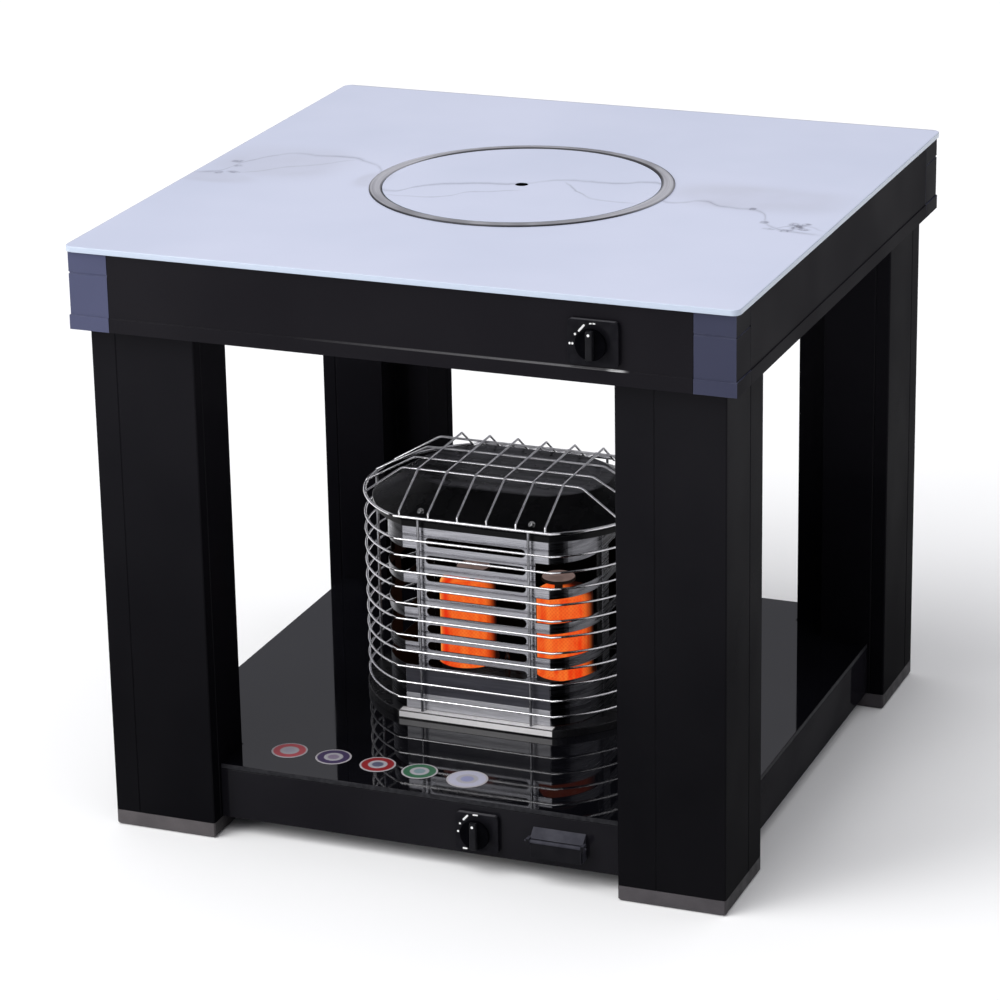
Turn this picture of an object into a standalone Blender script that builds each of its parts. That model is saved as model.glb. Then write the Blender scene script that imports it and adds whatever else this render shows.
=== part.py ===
"""Gas heating table: glass top over a sunk hob, glass shelf below with a caged gas heater.

Metres, +Z up, origin on the floor under the middle of the top, -Y is the side with the knobs.
"""
from math import asin, cos, pi, radians, sin

import bmesh
import bpy
from mathutils import Matrix, Vector

# Clearances
FIT = 0.0003                  # between pieces that seat on each other
RUN = 0.0006                  # round a piece that turns or slides

# Top glass and lid
TOP_SIDE = 0.800
TOP_HEIGHT = 0.718
TOP_GLASS = 0.007
TOP_CORNER = 0.010
RING_OUTER_RADIUS = 0.1807
RING_INNER_RADIUS = 0.1655
RING_PROUD = 0.002
RING_CHAMFER = 0.001
RING_COLLAR_WALL = 0.0055
RING_LEDGE_WIDTH = 0.008
RING_LEDGE = 0.0015
LID_GLASS = 0.007
LID_SUNK = 0.0005             # lid face below the top of the ring
LID_HOLE_RADIUS = 0.0075

# Apron channels and corner caps
APRON_INSET = 0.0038          # glass edge to apron face
APRON_HEIGHT = 0.0912
APRON_LIP_HEIGHT = 0.017
APRON_LIP_PROUD = 0.0013
SHEET_WALL = 0.0015
CAP_WIDTH = 0.0495
CAP_GROOVE_DROP = 0.0235      # apron top to the groove round the cap
CAP_GROOVE_WIDTH = 0.0022
CAP_GROOVE_DEPTH = 0.0008

# Legs and feet
LEG_INSET = 0.0194            # glass edge to leg face
LEG_WIDTH = 0.1285
LEG_NOTCH = 0.0456
LEG_BOARD = 0.012             # wall of the hollow leg
LEG_EDGE = 0.0015
GROOVE_WIDTH = 0.0022
GROOVE_DEPTH = 0.0012
GROOVE_NEAR = 0.031           # outer corner to groove, front left and back right legs
GROOVE_FAR = 0.0825           # outer corner to groove, front right and back left legs
GROOVE_END = 0.018            # outer face to groove, on the inner end faces
FOOT_HEIGHT = 0.0187
FOOT_TAPER = 0.0025

# Shelf
RAIL_SETBACK = 0.0216         # leg face to rail face
RAIL_BOTTOM = 0.0199
RAIL_DEPTH = 0.025
SHELF_HEIGHT = 0.0877
SHELF_GLASS = 0.006
SHELF_LEG_GAP = 0.001
BEARER_SPACING = 0.200
BEARER_WIDTH = 0.030
BEARER_HEIGHT = 0.025

# Hob under the lid
SHEET_THIN = 0.0012
PAN_DEPTH = 0.057
PAN_MOUTH_RADIUS = 0.156
PAN_FLOOR_RADIUS = 0.146
PAN_FLANGE_WIDTH = 0.007
BURNER_NECK_RADIUS = 0.030
BURNER_NECK_DROP = 0.018
BURNER_FLANGE_RADIUS = 0.050
BURNER_FLANGE = 0.0035
BURNER_HEAD_RADIUS = 0.040
BURNER_HEAD_HEIGHT = 0.0115
BURNER_CAP_RADIUS = 0.043
BURNER_CAP_HEIGHT = 0.006
BURNER_CAP_CROWN = 0.002
SUPPORT_RING_RADIUS = 0.114
SUPPORT_BAR = 0.008
SUPPORT_REACH = 0.018         # bar beyond the support ring
SUPPORT_INNER_RADIUS = 0.050
SUPPORT_TIP = 0.008
SUPPORT_ARMS = 4
SUPPORT_DROP = 0.0222         # lid underside to the top of the support
TRAY_FLANGE = 0.012

# Gas controls: knob, bezel plate, spindle and valve
HOB_KNOB_INSET = 0.0161       # leg's inner face to the hob knob's axis
HOB_KNOB_DROP = 0.0440        # apron top down to the hob knob's axis
HOB_BEZEL = (0.059, 0.051)
HEATER_KNOB_INSET = 0.1776     # leg's inner face to the heater knob's axis
RAIL_CONTROL_RISE = 0.0301    # rail's lower edge up to the knob's axis and the battery box
HEATER_BEZEL = (0.053, 0.047)
BEZEL_THICK = 0.006
BEZEL_CORNER = 0.004
KNOB_RADIUS = 0.019
KNOB_DISC = 0.0035
KNOB_CHAMFER = 0.0012
KNOB_GAP = 0.0045             # push travel plus clearance
KNOB_BAR_WIDTH = 0.0095
KNOB_BAR_HEIGHT = 0.006
KNOB_BAR_CORNER = 0.0024
KNOB_HUB_RADIUS = 0.0075
KNOB_HUB_ENTRY = 0.001        # hub inside the bezel plate
KNOB_FACE = 0.0018            # knob material in front of the spindle bore
SPINDLE_RADIUS = 0.004
SPINDLE_DEPTH = 0.0155        # spindle behind the panel face
VALVE_NOSE_RADIUS = 0.011
VALVE_NOSE = 0.0102
VALVE_BODY = (0.028, 0.034, 0.032)
VALVE_EDGE = 0.002
VALVE_PORT_DROP = 0.0085      # spindle axis down to the gas ports
VALVE_PORT_DEPTH = 0.028      # panel face back to the outlet port

# Gas pipes and inlets
PIPE_RADIUS = 0.004
PIPE_BEND = 0.014
HOB_PIPE_DROP = 0.011         # pan floor down to the pipe's axis
INLET_LENGTH = 0.0205
INLET_RADIUS = 0.0058
INLET_NECK_RADIUS = 0.0046    # behind each rib
INLET_FLANGE_RADIUS = 0.011
INLET_FLANGE = 0.004
INLET_TAIL = 0.012
INLET_RIBS = 3

# Battery box on the front rail
BATTERY_BOX_INSET = 0.0776     # leg's inner face to the middle of the box
BOX_WIDTH = 0.064
BOX_BELOW = 0.016             # box centre to its lower edge
BOX_ABOVE = 0.016
BOX_PROUD = 0.012
BOX_RIDGE = 0.0065            # box centre up to the ridge
BOX_TAIL_WIDTH = 0.056
BOX_TAIL_HEIGHT = 0.020
BOX_TAIL_DEPTH = 0.026
BOX_TAIL_DROP = 0.0035        # middle of the tail below the box centre
BOX_WALL = 0.002
BOX_CLEAR = 0.0005            # round the tail in the rail's opening
CELL_RADIUS = 0.0071
CELL_LENGTH = 0.0498
CELL_NUB_RADIUS = 0.0024
CELL_NUB = 0.0012
FLAP_THICK = 0.0022
FLAP_BARREL_RADIUS = 0.0022
FLAP_PIN_RADIUS = 0.0012
FLAP_PIN_REACH = 0.0025       # pin past the outside of the ear
EAR_THICK = 0.003
EAR_SIZE = 0.007
SPARK_UNIT = (0.040, 0.020, 0.022)
SPARK_UNIT_X = -0.040

# Heater on the shelf
HEATER_X = -0.0075
HEATER_Y = -0.0215
GUARD_HALF = (0.183, 0.1385)
GUARD_FLAT = 0.0985           # half of the straight front, between the round ends
BASE_MARGIN = 0.0025          # base edge outside the guard
BASE_HEIGHT = 0.0097
SHELL_MARGIN = 0.009          # guard to the panels and the eave of the roof
SHELL_END_MARGIN = 0.049      # guard to the end panels
SHELL_FLAT = 0.093            # half of the flat front
SHELL_END_FLAT = 0.062        # half of the flat end
SHELL_PLINTH = 0.0564         # plain foot of the panels under the lowest window
SHELL_HEIGHT = 0.2335
SLOT_HEIGHT = 0.0112
SLOT_PITCH = 0.0221
SLOT_LENGTH = 0.127
SLOT_COUNT = 8
SLOT_FIRST = 0.0612           # panel foot to the middle of the lowest slot
WINDOW_HEIGHT = 0.031
WINDOW_DROP = 0.0035          # middle of a window below the middle of its slot
WINDOW_WRAP = 0.017           # corner window onto the flat front
WINDOW_POST = 0.008           # strip left beside each end panel
END_WINDOW_WIDTH = 0.080
ROOF_SKIRT = 0.007
ROOF_RISE = 0.030
ROOF_FLAT = 0.094             # half of the straight eave
ROOF_INSET = 0.052            # eave to the flat top of the roof
ROOF_TOP_FLAT = 0.049         # half of the straight edge of that top
MANIFOLD = (0.190, 0.030, 0.0185)
COLUMN_RADIUS = 0.0345
COLUMN_SHOULDER = 0.0058
COLUMN_HEIGHT = 0.1055
COLUMN_SPACING = 0.127
COLUMN_FOOT = 0.003
COLUMN_CAP_RADIUS = 0.021
COLUMN_CAP = 0.004
COLUMN_CAP_EDGE = 0.001
COLUMN_CAP_STEM = 0.012
COLUMN_CAP_INSET = 0.0078     # towards the middle from the column's axis
COLUMN_STEM_RADIUS = 0.005
ELECTRODE_RADIUS = 0.003
ELECTRODE_HEIGHT = 0.055
ELECTRODE_TIP_RADIUS = 0.0015
ELECTRODE_TIP = 0.012
ELECTRODE_CONE = 0.003
ELECTRODE_FORWARD = 0.032     # in front of the burners' middle line

# Wire guard
WIRE_RADIUS = 0.0014
RIM_RADIUS = 0.0019
ROD_RADIUS = 0.0017
WELD = 0.0009                 # depth that welded wires sink into each other
RIM_HEIGHT = 0.2582           # shelf glass to the rim wire
RIM_TO_HOOP = 0.0285
HOOP_PITCH = 0.02033
HOOP_COUNT = 11
ROD_SPACING = 0.140
PLATEAU_RISE = 0.038
PLATEAU_HALF = 0.1145         # half length of the raised grille
CROSS_WIRES = 4
CROSS_FORWARD = 0.0745        # middle line to the foremost cross wire
CROSS_PITCH = 0.040
LONG_WIRES = 6
LONG_PITCH = 0.037
LONG_BACK = 0.068             # middle line to the rear bend of the long wires
CROSS_BEND = 0.014
LONG_BEND = 0.007

# Facets round a turn
ROUND_LARGE = 36
ROUND_MEDIUM = 24
ROUND_SMALL = 12
FINE_STEP_COUNT = 4           # facets of a rounded corner
COARSE_STEP_COUNT = 2
END_STEP_COUNT = 3            # facets of half a round end
SMOOTH_ANGLE = radians(35)

# Places worked out from the sizes
TOP_HALF = TOP_SIDE / 2
LEG_FACE = TOP_HALF - LEG_INSET
LEG_INNER = LEG_FACE - LEG_WIDTH
TOP_UNDER = TOP_HEIGHT - TOP_GLASS
APRON_FACE = TOP_HALF - APRON_INSET
APRON_BACK = LEG_FACE + FIT
APRON_TOP = TOP_UNDER - FIT
APRON_BOTTOM = APRON_TOP - APRON_HEIGHT
RAIL_FACE = LEG_FACE - RAIL_SETBACK
RAIL_BACK = RAIL_FACE - RAIL_DEPTH
SHELF_UNDER = SHELF_HEIGHT - SHELF_GLASS
RAIL_TOP = SHELF_UNDER - FIT
HOB_KNOB_X = LEG_INNER - HOB_KNOB_INSET
HOB_KNOB_Z = APRON_TOP - HOB_KNOB_DROP
HEATER_KNOB_X = LEG_INNER - HEATER_KNOB_INSET
BATTERY_BOX_X = LEG_INNER - BATTERY_BOX_INSET
RAIL_CONTROL_Z = RAIL_BOTTOM + RAIL_CONTROL_RISE
RING_TOP = TOP_HEIGHT + RING_PROUD
LEDGE_TOP = RING_TOP - LID_SUNK - LID_GLASS - FIT
LID_UNDER = LEDGE_TOP + FIT
PAN_TOP = LEDGE_TOP - RING_LEDGE - FIT
PAN_FLOOR = PAN_TOP - PAN_DEPTH
HEATER_FLOOR = SHELF_HEIGHT + FIT
BASE_TOP = HEATER_FLOOR + BASE_HEIGHT
SHELL_FOOT = BASE_TOP + FIT
SHELL_TOP = SHELL_FOOT + SHELL_HEIGHT
SHELL_HALF = (GUARD_HALF[0] - SHELL_END_MARGIN, GUARD_HALF[1] - SHELL_MARGIN)
MANIFOLD_TOP = BASE_TOP + FIT + MANIFOLD[2]
RIM_Z = SHELF_HEIGHT + RIM_HEIGHT
FACING_FRONT = (pi / 2, 0, 0)
SIDES = ("front", "right", "back", "left")
CORNERS = ("front_left", "front_right", "back_right", "back_left")


# Scene, finishes and objects
for old in list(bpy.data.objects):
    bpy.data.objects.remove(old, do_unlink=True)

parts = bpy.data.collections.new("gas_heating_table")
cutters = bpy.data.collections.new("cutters")
for group in (parts, cutters):
    bpy.context.scene.collection.children.link(group)

root = bpy.data.objects.new("table", None)
parts.objects.link(root)

FINISHES = {
    # name: colour, roughness, metallic
    "marble_glass": ((0.80, 0.82, 0.88, 1), 0.06, 0.0),
    "shelf_glass": ((0.010, 0.010, 0.013, 1), 0.03, 0.0),
    "steel": ((0.62, 0.62, 0.64, 1), 0.22, 1.0),
    "chrome": ((0.78, 0.78, 0.80, 1), 0.10, 1.0),
    "black_gloss": ((0.012, 0.011, 0.014, 1), 0.12, 0.0),
    "black_satin": ((0.018, 0.017, 0.020, 1), 0.38, 0.0),
    "blue_grey": ((0.105, 0.110, 0.175, 1), 0.35, 0.0),
    "foot_grey": ((0.130, 0.110, 0.115, 1), 0.55, 0.0),
    "black_plastic": ((0.020, 0.020, 0.023, 1), 0.42, 0.0),
    "cast_iron": ((0.022, 0.021, 0.022, 1), 0.60, 0.6),
    "brass": ((0.65, 0.47, 0.20, 1), 0.30, 1.0),
    "stamped_steel": ((0.50, 0.50, 0.54, 1), 0.35, 0.9),
    "heat_black": ((0.012, 0.012, 0.013, 1), 0.45, 0.2),
    "cream_enamel": ((0.72, 0.70, 0.66, 1), 0.30, 0.0),
    "hot_ceramic": ((0.95, 0.24, 0.05, 1), 0.70, 0.0),
    "burnt_steel": ((0.23, 0.17, 0.15, 1), 0.50, 0.7),
    "cell_wrap": ((0.10, 0.16, 0.12, 1), 0.35, 0.0),
}


def finish(name):
    """Principled material of one of the finishes."""
    if name in bpy.data.materials:
        return bpy.data.materials[name]
    colour, roughness, metallic = FINISHES[name]
    made = bpy.data.materials.new(name)
    made.use_nodes = True
    shader = made.node_tree.nodes["Principled BSDF"]
    shader.inputs["Base Color"].default_value = colour
    shader.inputs["Roughness"].default_value = roughness
    shader.inputs["Metallic"].default_value = metallic
    return made


def add_part(name, mesh, look, location=(0, 0, 0), rotation=(0, 0, 0), smooth=False):
    """Named sub-part, carried by the table's empty."""
    if smooth:
        mesh.shade_smooth()
        mesh.set_sharp_from_angle(angle=SMOOTH_ANGLE)
    mesh.materials.append(finish(look))
    part = bpy.data.objects.new(name, mesh)
    part.location = location
    part.rotation_euler = rotation
    part.parent = root
    parts.objects.link(part)
    return part


def add_tool(part, mesh, operation, location=(0, 0, 0), rotation=(0, 0, 0)):
    """Boolean of a part with a helper solid that is kept out of the model."""
    tool = bpy.data.objects.new("tool_" + part.name, mesh)
    tool.location = location
    tool.rotation_euler = rotation
    tool.hide_render = True
    tool.display_type = "WIRE"
    cutters.objects.link(tool)
    modifier = part.modifiers.new(operation.lower(), "BOOLEAN")
    modifier.operation = operation
    modifier.solver = "EXACT"
    modifier.object = tool


def cut(part, mesh, location=(0, 0, 0), rotation=(0, 0, 0)):
    add_tool(part, mesh, "DIFFERENCE", location, rotation)


def weld(part, mesh, location=(0, 0, 0), rotation=(0, 0, 0)):
    add_tool(part, mesh, "UNION", location, rotation)


# Shapes
def tidy_mesh(mesh, matrix=None):
    """Weld loose caps, turn faces outwards and move the mesh."""
    shape = bmesh.new()
    shape.from_mesh(mesh)
    bmesh.ops.remove_doubles(shape, verts=shape.verts, dist=1e-6)
    if matrix is not None:
        shape.transform(matrix)
    bmesh.ops.recalc_face_normals(shape, faces=shape.faces)
    shape.to_mesh(mesh)
    shape.free()
    return mesh


def evaluated_mesh(data, modify=None, matrix=None):
    """Mesh of a curve, or of a mesh with modifiers, by way of a passing object."""
    holder = bpy.data.objects.new("holder", data)
    cutters.objects.link(holder)
    if modify:
        modify(holder)
    graph = bpy.context.evaluated_depsgraph_get()
    graph.update()
    mesh = bpy.data.meshes.new_from_object(holder.evaluated_get(graph))
    bpy.data.objects.remove(holder, do_unlink=True)
    return tidy_mesh(mesh, matrix)


def joined(meshes):
    """One mesh that holds separate bodies."""
    shape = bmesh.new()
    for mesh in meshes:
        shape.from_mesh(mesh)
    mesh = bpy.data.meshes.new("joined")
    shape.to_mesh(mesh)
    shape.free()
    return mesh


def plate(outlines, low, high, matrix=Matrix()):
    """Flat plate in XY: the first outline is its edge, the others are holes."""
    curve = bpy.data.curves.new("outline", "CURVE")
    curve.dimensions = "2D"
    curve.fill_mode = "BOTH"
    curve.extrude = (high - low) / 2
    for outline in outlines:
        spline = curve.splines.new("POLY")
        spline.points.add(len(outline) - 1)
        for point, (x, y) in zip(spline.points, outline):
            point.co = (x, y, 0, 1)
        spline.use_cyclic_u = True
    return evaluated_mesh(curve, matrix=matrix @ Matrix.Translation((0, 0, (low + high) / 2)))


def wire(points, radius, closed=False, resolution=1):
    """Round wire or pipe along points."""
    curve = bpy.data.curves.new("wire", "CURVE")
    curve.dimensions = "3D"
    curve.bevel_depth = radius
    curve.bevel_resolution = resolution
    curve.use_fill_caps = True
    spline = curve.splines.new("POLY")
    spline.points.add(len(points) - 1)
    for point, place in zip(spline.points, points):
        point.co = (*place, 1)
    spline.use_cyclic_u = closed
    return evaluated_mesh(curve)


def turned(profile, steps, closed=False, wall=0.0, matrix=None):
    """Profile of (radius, height) points turned about Z; a wall makes it a shell."""
    count = len(profile)
    edges = [(i, i + 1) for i in range(count - 1)] + ([(count - 1, 0)] if closed else [])
    mesh = bpy.data.meshes.new("profile")
    mesh.from_pydata([(radius, 0, height) for radius, height in profile], edges, [])

    def modify(holder):
        screw = holder.modifiers.new("turn", "SCREW")
        screw.steps = screw.render_steps = steps
        screw.use_merge_vertices = True
        screw.merge_threshold = 1e-6
        if wall:
            shell = holder.modifiers.new("wall", "SOLIDIFY")
            shell.thickness = wall
            shell.offset = 0
            shell.use_even_offset = True

    return evaluated_mesh(mesh, modify, matrix)


def sheet_mesh(shape, offset=-1):
    """Open surface given the wall of thin sheet."""
    bmesh.ops.recalc_face_normals(shape, faces=shape.faces)
    mesh = bpy.data.meshes.new("sheet")
    shape.to_mesh(mesh)
    shape.free()

    def modify(holder):
        shell = holder.modifiers.new("wall", "SOLIDIFY")
        shell.thickness = SHEET_THIN
        shell.offset = offset
        shell.use_even_offset = True

    return evaluated_mesh(mesh, modify)


def rod(radius, low, high, steps=ROUND_SMALL, matrix=None):
    """Round bar on the Z axis."""
    return turned([(0, high), (radius, high), (radius, low), (0, low)], steps, matrix=matrix)


def box(low, high, bevel=0.0):
    """Box between two corners, with rounded edges if asked."""
    low, high = Vector(low), Vector(high)
    shape = bmesh.new()
    bmesh.ops.create_cube(shape, size=1)
    bmesh.ops.scale(shape, vec=high - low, verts=shape.verts)
    bmesh.ops.translate(shape, vec=(low + high) / 2, verts=shape.verts)
    if bevel:
        bmesh.ops.bevel(shape, geom=shape.edges[:], offset=bevel, segments=1, profile=0.5, affect="EDGES")
    mesh = bpy.data.meshes.new("box")
    shape.to_mesh(mesh)
    shape.free()
    return mesh


def circle(radius, steps, centre=(0, 0)):
    turn = 2 * pi / steps
    return [(centre[0] + radius * cos(i * turn), centre[1] + radius * sin(i * turn)) for i in range(steps)]


def rectangle(half_x, half_y):
    return [(-half_x, -half_y), (half_x, -half_y), (half_x, half_y), (-half_x, half_y)]


def plus_shape(arm, neck):
    """Square with its corners cut out, where the legs stand."""
    quarter = [(neck, -arm), (neck, -neck), (arm, -neck)]
    turns = [Matrix.Rotation(turn * pi / 2, 2) for turn in range(4)]
    return [tuple(turn @ Vector(point)) for turn in turns for point in quarter]


def corner_arc(half_x, half_y, flat, end_flat=0.0):
    """Arc from the end of the flat front round into the flat middle of the right-hand end."""
    rise, run = half_y - end_flat, half_x - flat
    radius = (rise * rise + run * run) / (2 * run)
    sweep = asin(rise / radius)
    angles = [sweep * (1 - k / END_STEP_COUNT) for k in range(END_STEP_COUNT + 1)]
    return [(half_x - radius + radius * cos(angle), -end_flat - radius * sin(angle)) for angle in angles]


def round_end(half_x, half_y, flat):
    """Right-hand end from front to back, as one arc."""
    front = corner_arc(half_x, half_y, flat)
    return front + [(x, -y) for x, y in reversed(front[:-1])]


def round_ended(half_x, half_y, flat):
    """Outline with a flat front and back and round ends."""
    end = round_end(half_x, half_y, flat)
    return end + [(-x, -y) for x, y in end]


def rounded(points, radius, steps, closed=True):
    """Path with each corner replaced by an arc, in two or three dimensions."""
    points = [Vector(p) for p in points]
    count = len(points)
    made = []
    for i, corner in enumerate(points):
        if not closed and i in (0, count - 1):
            made.append(tuple(corner))
            continue
        back = (points[i - 1] - corner).normalized()
        ahead = (points[(i + 1) % count] - corner).normalized()
        half_angle = back.angle(ahead) / 2
        reach = radius * cos(half_angle) / sin(half_angle)
        middle = corner + (back + ahead).normalized() * radius / sin(half_angle)
        start = corner + back * reach - middle
        end = corner + ahead * reach - middle
        sweep = start.angle(end)
        for k in range(steps + 1):
            share = k / steps
            arm = (start * sin((1 - share) * sweep) + end * sin(share * sweep)) / sin(sweep)
            made.append(tuple(middle + arm))
    return made


def front_side(mesh):
    """Profile drawn as (outwards, up) and extruded along Z, stood up on the front side."""
    turn = Matrix(((0, 0, -1, 0), (-1, 0, 0, 0), (0, 1, 0, 0), (0, 0, 0, 1)))
    return tidy_mesh(mesh, turn)


def channel(depth, height, lip_height=0.0, lip_proud=0.0):
    """Folded sheet channel, open at its back, as (outwards, up) points."""
    wall = SHEET_WALL
    lip = [(depth + lip_proud, 0), (depth + lip_proud, lip_height), (depth, lip_height)]
    return [(0, 0)] + (lip if lip_proud else [(depth, 0)]) + [
        (depth, height), (0, height), (0, height - wall), (depth - wall, height - wall),
        (depth - wall, wall), (0, wall)]


# Top
def build_top():
    corner = rounded(rectangle(TOP_HALF, TOP_HALF), TOP_CORNER, FINE_STEP_COUNT)
    hole = RING_INNER_RADIUS + RING_COLLAR_WALL + FIT
    glass = plate([corner, circle(hole, ROUND_LARGE)], TOP_UNDER, TOP_HEIGHT)
    add_part("top_glass", glass, "marble_glass")

    collar = RING_INNER_RADIUS + RING_COLLAR_WALL
    ledge = RING_INNER_RADIUS - RING_LEDGE_WIDTH
    flange_under = TOP_HEIGHT + FIT
    ring = [
        (RING_INNER_RADIUS, RING_TOP), (RING_OUTER_RADIUS - RING_CHAMFER, RING_TOP),
        (RING_OUTER_RADIUS, RING_TOP - RING_CHAMFER), (RING_OUTER_RADIUS, flange_under),
        (collar, flange_under), (collar, LEDGE_TOP - RING_LEDGE), (ledge, LEDGE_TOP - RING_LEDGE),
        (ledge, LEDGE_TOP), (RING_INNER_RADIUS, LEDGE_TOP)]
    add_part("lid_ring", turned(ring, ROUND_LARGE, closed=True), "steel", smooth=True)

    edge = circle(RING_INNER_RADIUS - RUN, ROUND_LARGE)
    lid = plate([edge, circle(LID_HOLE_RADIUS, ROUND_SMALL)], 0, LID_GLASS)
    add_part("lid_glass", lid, "marble_glass", location=(0, 0, LID_UNDER))


# Apron box and corner caps
def build_aprons():
    depth = APRON_FACE - APRON_BACK
    length = 2 * (APRON_FACE + APRON_LIP_PROUD - CAP_WIDTH - FIT)
    profile = channel(depth, APRON_HEIGHT, APRON_LIP_HEIGHT, APRON_LIP_PROUD)
    for turn, side in enumerate(SIDES):
        mesh = front_side(plate([profile], -length / 2, length / 2))
        mesh.transform(Matrix.Translation((0, -APRON_BACK, 0)))
        add_part("apron_" + side, mesh, "black_satin", location=(0, 0, APRON_BOTTOM),
                 rotation=(0, 0, turn * pi / 2))


def cap_mesh():
    """Corner of folded channel: one arm mitred at the corner, with its mirror image."""
    depth = APRON_FACE - APRON_BACK
    groove = APRON_HEIGHT - CAP_GROOVE_DROP
    profile = channel(depth, APRON_HEIGHT, APRON_LIP_HEIGHT, APRON_LIP_PROUD)
    after_lip = 4
    profile[after_lip:after_lip] = [
        (depth, groove - CAP_GROOVE_WIDTH), (depth - CAP_GROOVE_DEPTH, groove - CAP_GROOVE_WIDTH),
        (depth - CAP_GROOVE_DEPTH, groove), (depth, groove)]
    corner = APRON_FACE + APRON_LIP_PROUD
    arm = front_side(plate([profile], corner - CAP_WIDTH, corner))
    arm.transform(Matrix.Translation((0, -APRON_BACK, 0)))
    shape = bmesh.new()
    shape.from_mesh(arm)
    everything = shape.verts[:] + shape.edges[:] + shape.faces[:]
    bmesh.ops.bisect_plane(shape, geom=everything, dist=1e-6, plane_co=(0, 0, 0), plane_no=(-1, 1, 0),
                           clear_outer=True)
    swap = Matrix(((0, 1, 0), (1, 0, 0), (0, 0, 1)))
    copy = bmesh.ops.duplicate(shape, geom=shape.verts[:] + shape.edges[:] + shape.faces[:])["geom"]
    copied = [v for v in copy if isinstance(v, bmesh.types.BMVert)]
    bmesh.ops.transform(shape, matrix=swap, verts=copied)
    bmesh.ops.remove_doubles(shape, verts=shape.verts, dist=1e-6)
    bmesh.ops.recalc_face_normals(shape, faces=shape.faces)
    mesh = bpy.data.meshes.new("corner_cap")
    shape.to_mesh(mesh)
    shape.free()
    return mesh


def build_caps():
    for turn, corner in enumerate(CORNERS):
        add_part("corner_cap_" + corner, cap_mesh(), "blue_grey", location=(0, 0, APRON_BOTTOM),
                 rotation=(0, 0, turn * pi / 2))


# Legs and feet
def leg_outline(groove):
    """Leg in plan with its outer corner at the origin: square, inner corner notched, panel grooves."""
    wide, inner = LEG_WIDTH, LEG_WIDTH - LEG_NOTCH
    half = GROOVE_WIDTH / 2

    def vee(at):
        return [(at - half, 0), (at, GROOVE_DEPTH), (at + half, 0)]

    near = [(LEG_EDGE, 0)]
    if groove:
        near += vee(groove)
    near += [(wide - LEG_EDGE, 0), (wide, LEG_EDGE)]
    if groove:
        near += [(wide - y, x) for x, y in vee(GROOVE_END)]
    near += [(wide, inner)]
    mirrored = [(y, x) for x, y in reversed(near)]
    return near + [(inner, inner)] + mirrored


def leg_hollow():
    """Inside of the leg's boards in plan."""
    near, wide, inner = LEG_BOARD, LEG_WIDTH - LEG_BOARD, LEG_WIDTH - LEG_NOTCH - LEG_BOARD
    return [(near, near), (wide, near), (wide, inner), (inner, inner), (inner, wide), (near, wide)]


def build_legs():
    grooves = (GROOVE_NEAR, GROOVE_FAR, GROOVE_NEAR, GROOVE_FAR)
    for turn, (corner, groove) in enumerate(zip(CORNERS, grooves)):
        angle = turn * pi / 2
        place = Matrix.Rotation(angle, 3, "Z") @ Vector((-LEG_FACE, -LEG_FACE, 0))
        leg = plate([leg_outline(groove), leg_hollow()], FOOT_HEIGHT + FIT, APRON_TOP)
        add_part("leg_" + corner, leg, "black_gloss", location=place, rotation=(0, 0, angle))
        add_part("foot_" + corner, foot_mesh(), "foot_grey", location=place, rotation=(0, 0, angle))


def foot_mesh():
    """Foot cap under a leg, drawn in towards the floor."""
    foot = plate([leg_outline(0)], 0, FOOT_HEIGHT)
    shape = bmesh.new()
    shape.from_mesh(foot)
    floor = [f for f in shape.faces if f.normal.z < -0.5]
    bmesh.ops.inset_region(shape, faces=floor, thickness=FOOT_TAPER, use_even_offset=True)
    rim = {v for f in shape.faces if f.normal.z < -0.5 for v in f.verts}
    inner = {v for f in floor for v in f.verts}
    bmesh.ops.translate(shape, vec=(0, 0, FOOT_TAPER), verts=list(rim - inner))
    shape.to_mesh(foot)
    shape.free()
    return tidy_mesh(foot)


# Shelf
def build_shelf():
    length = 2 * (LEG_INNER - FIT)
    profile = channel(RAIL_DEPTH, RAIL_TOP - RAIL_BOTTOM)
    for turn, side in enumerate(SIDES):
        mesh = front_side(plate([profile], -length / 2, length / 2))
        mesh.transform(Matrix.Translation((0, -RAIL_BACK, 0)))
        add_part("shelf_rail_" + side, mesh, "black_gloss", location=(0, 0, RAIL_BOTTOM),
                 rotation=(0, 0, turn * pi / 2))

    outline = plus_shape(RAIL_FACE, LEG_INNER - SHELF_LEG_GAP)
    pipe_hole = circle(2 * PIPE_RADIUS, ROUND_SMALL, (HEATER_X, HEATER_Y))
    glass = plate([outline, pipe_hole], SHELF_UNDER, SHELF_HEIGHT)
    add_part("shelf_glass", glass, "shelf_glass")

    bearer_profile = channel(BEARER_WIDTH, BEARER_HEIGHT)
    span = 2 * (RAIL_BACK - FIT)
    for side, facing in (("front", -1), ("back", 1)):
        mesh = front_side(plate([bearer_profile], -span / 2, span / 2))
        place = (0, facing * BEARER_SPACING / 2, RAIL_TOP - BEARER_HEIGHT)
        add_part("shelf_bearer_" + side, mesh, "black_satin", location=place,
                 rotation=(0, 0, 0 if facing < 0 else pi))


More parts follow.
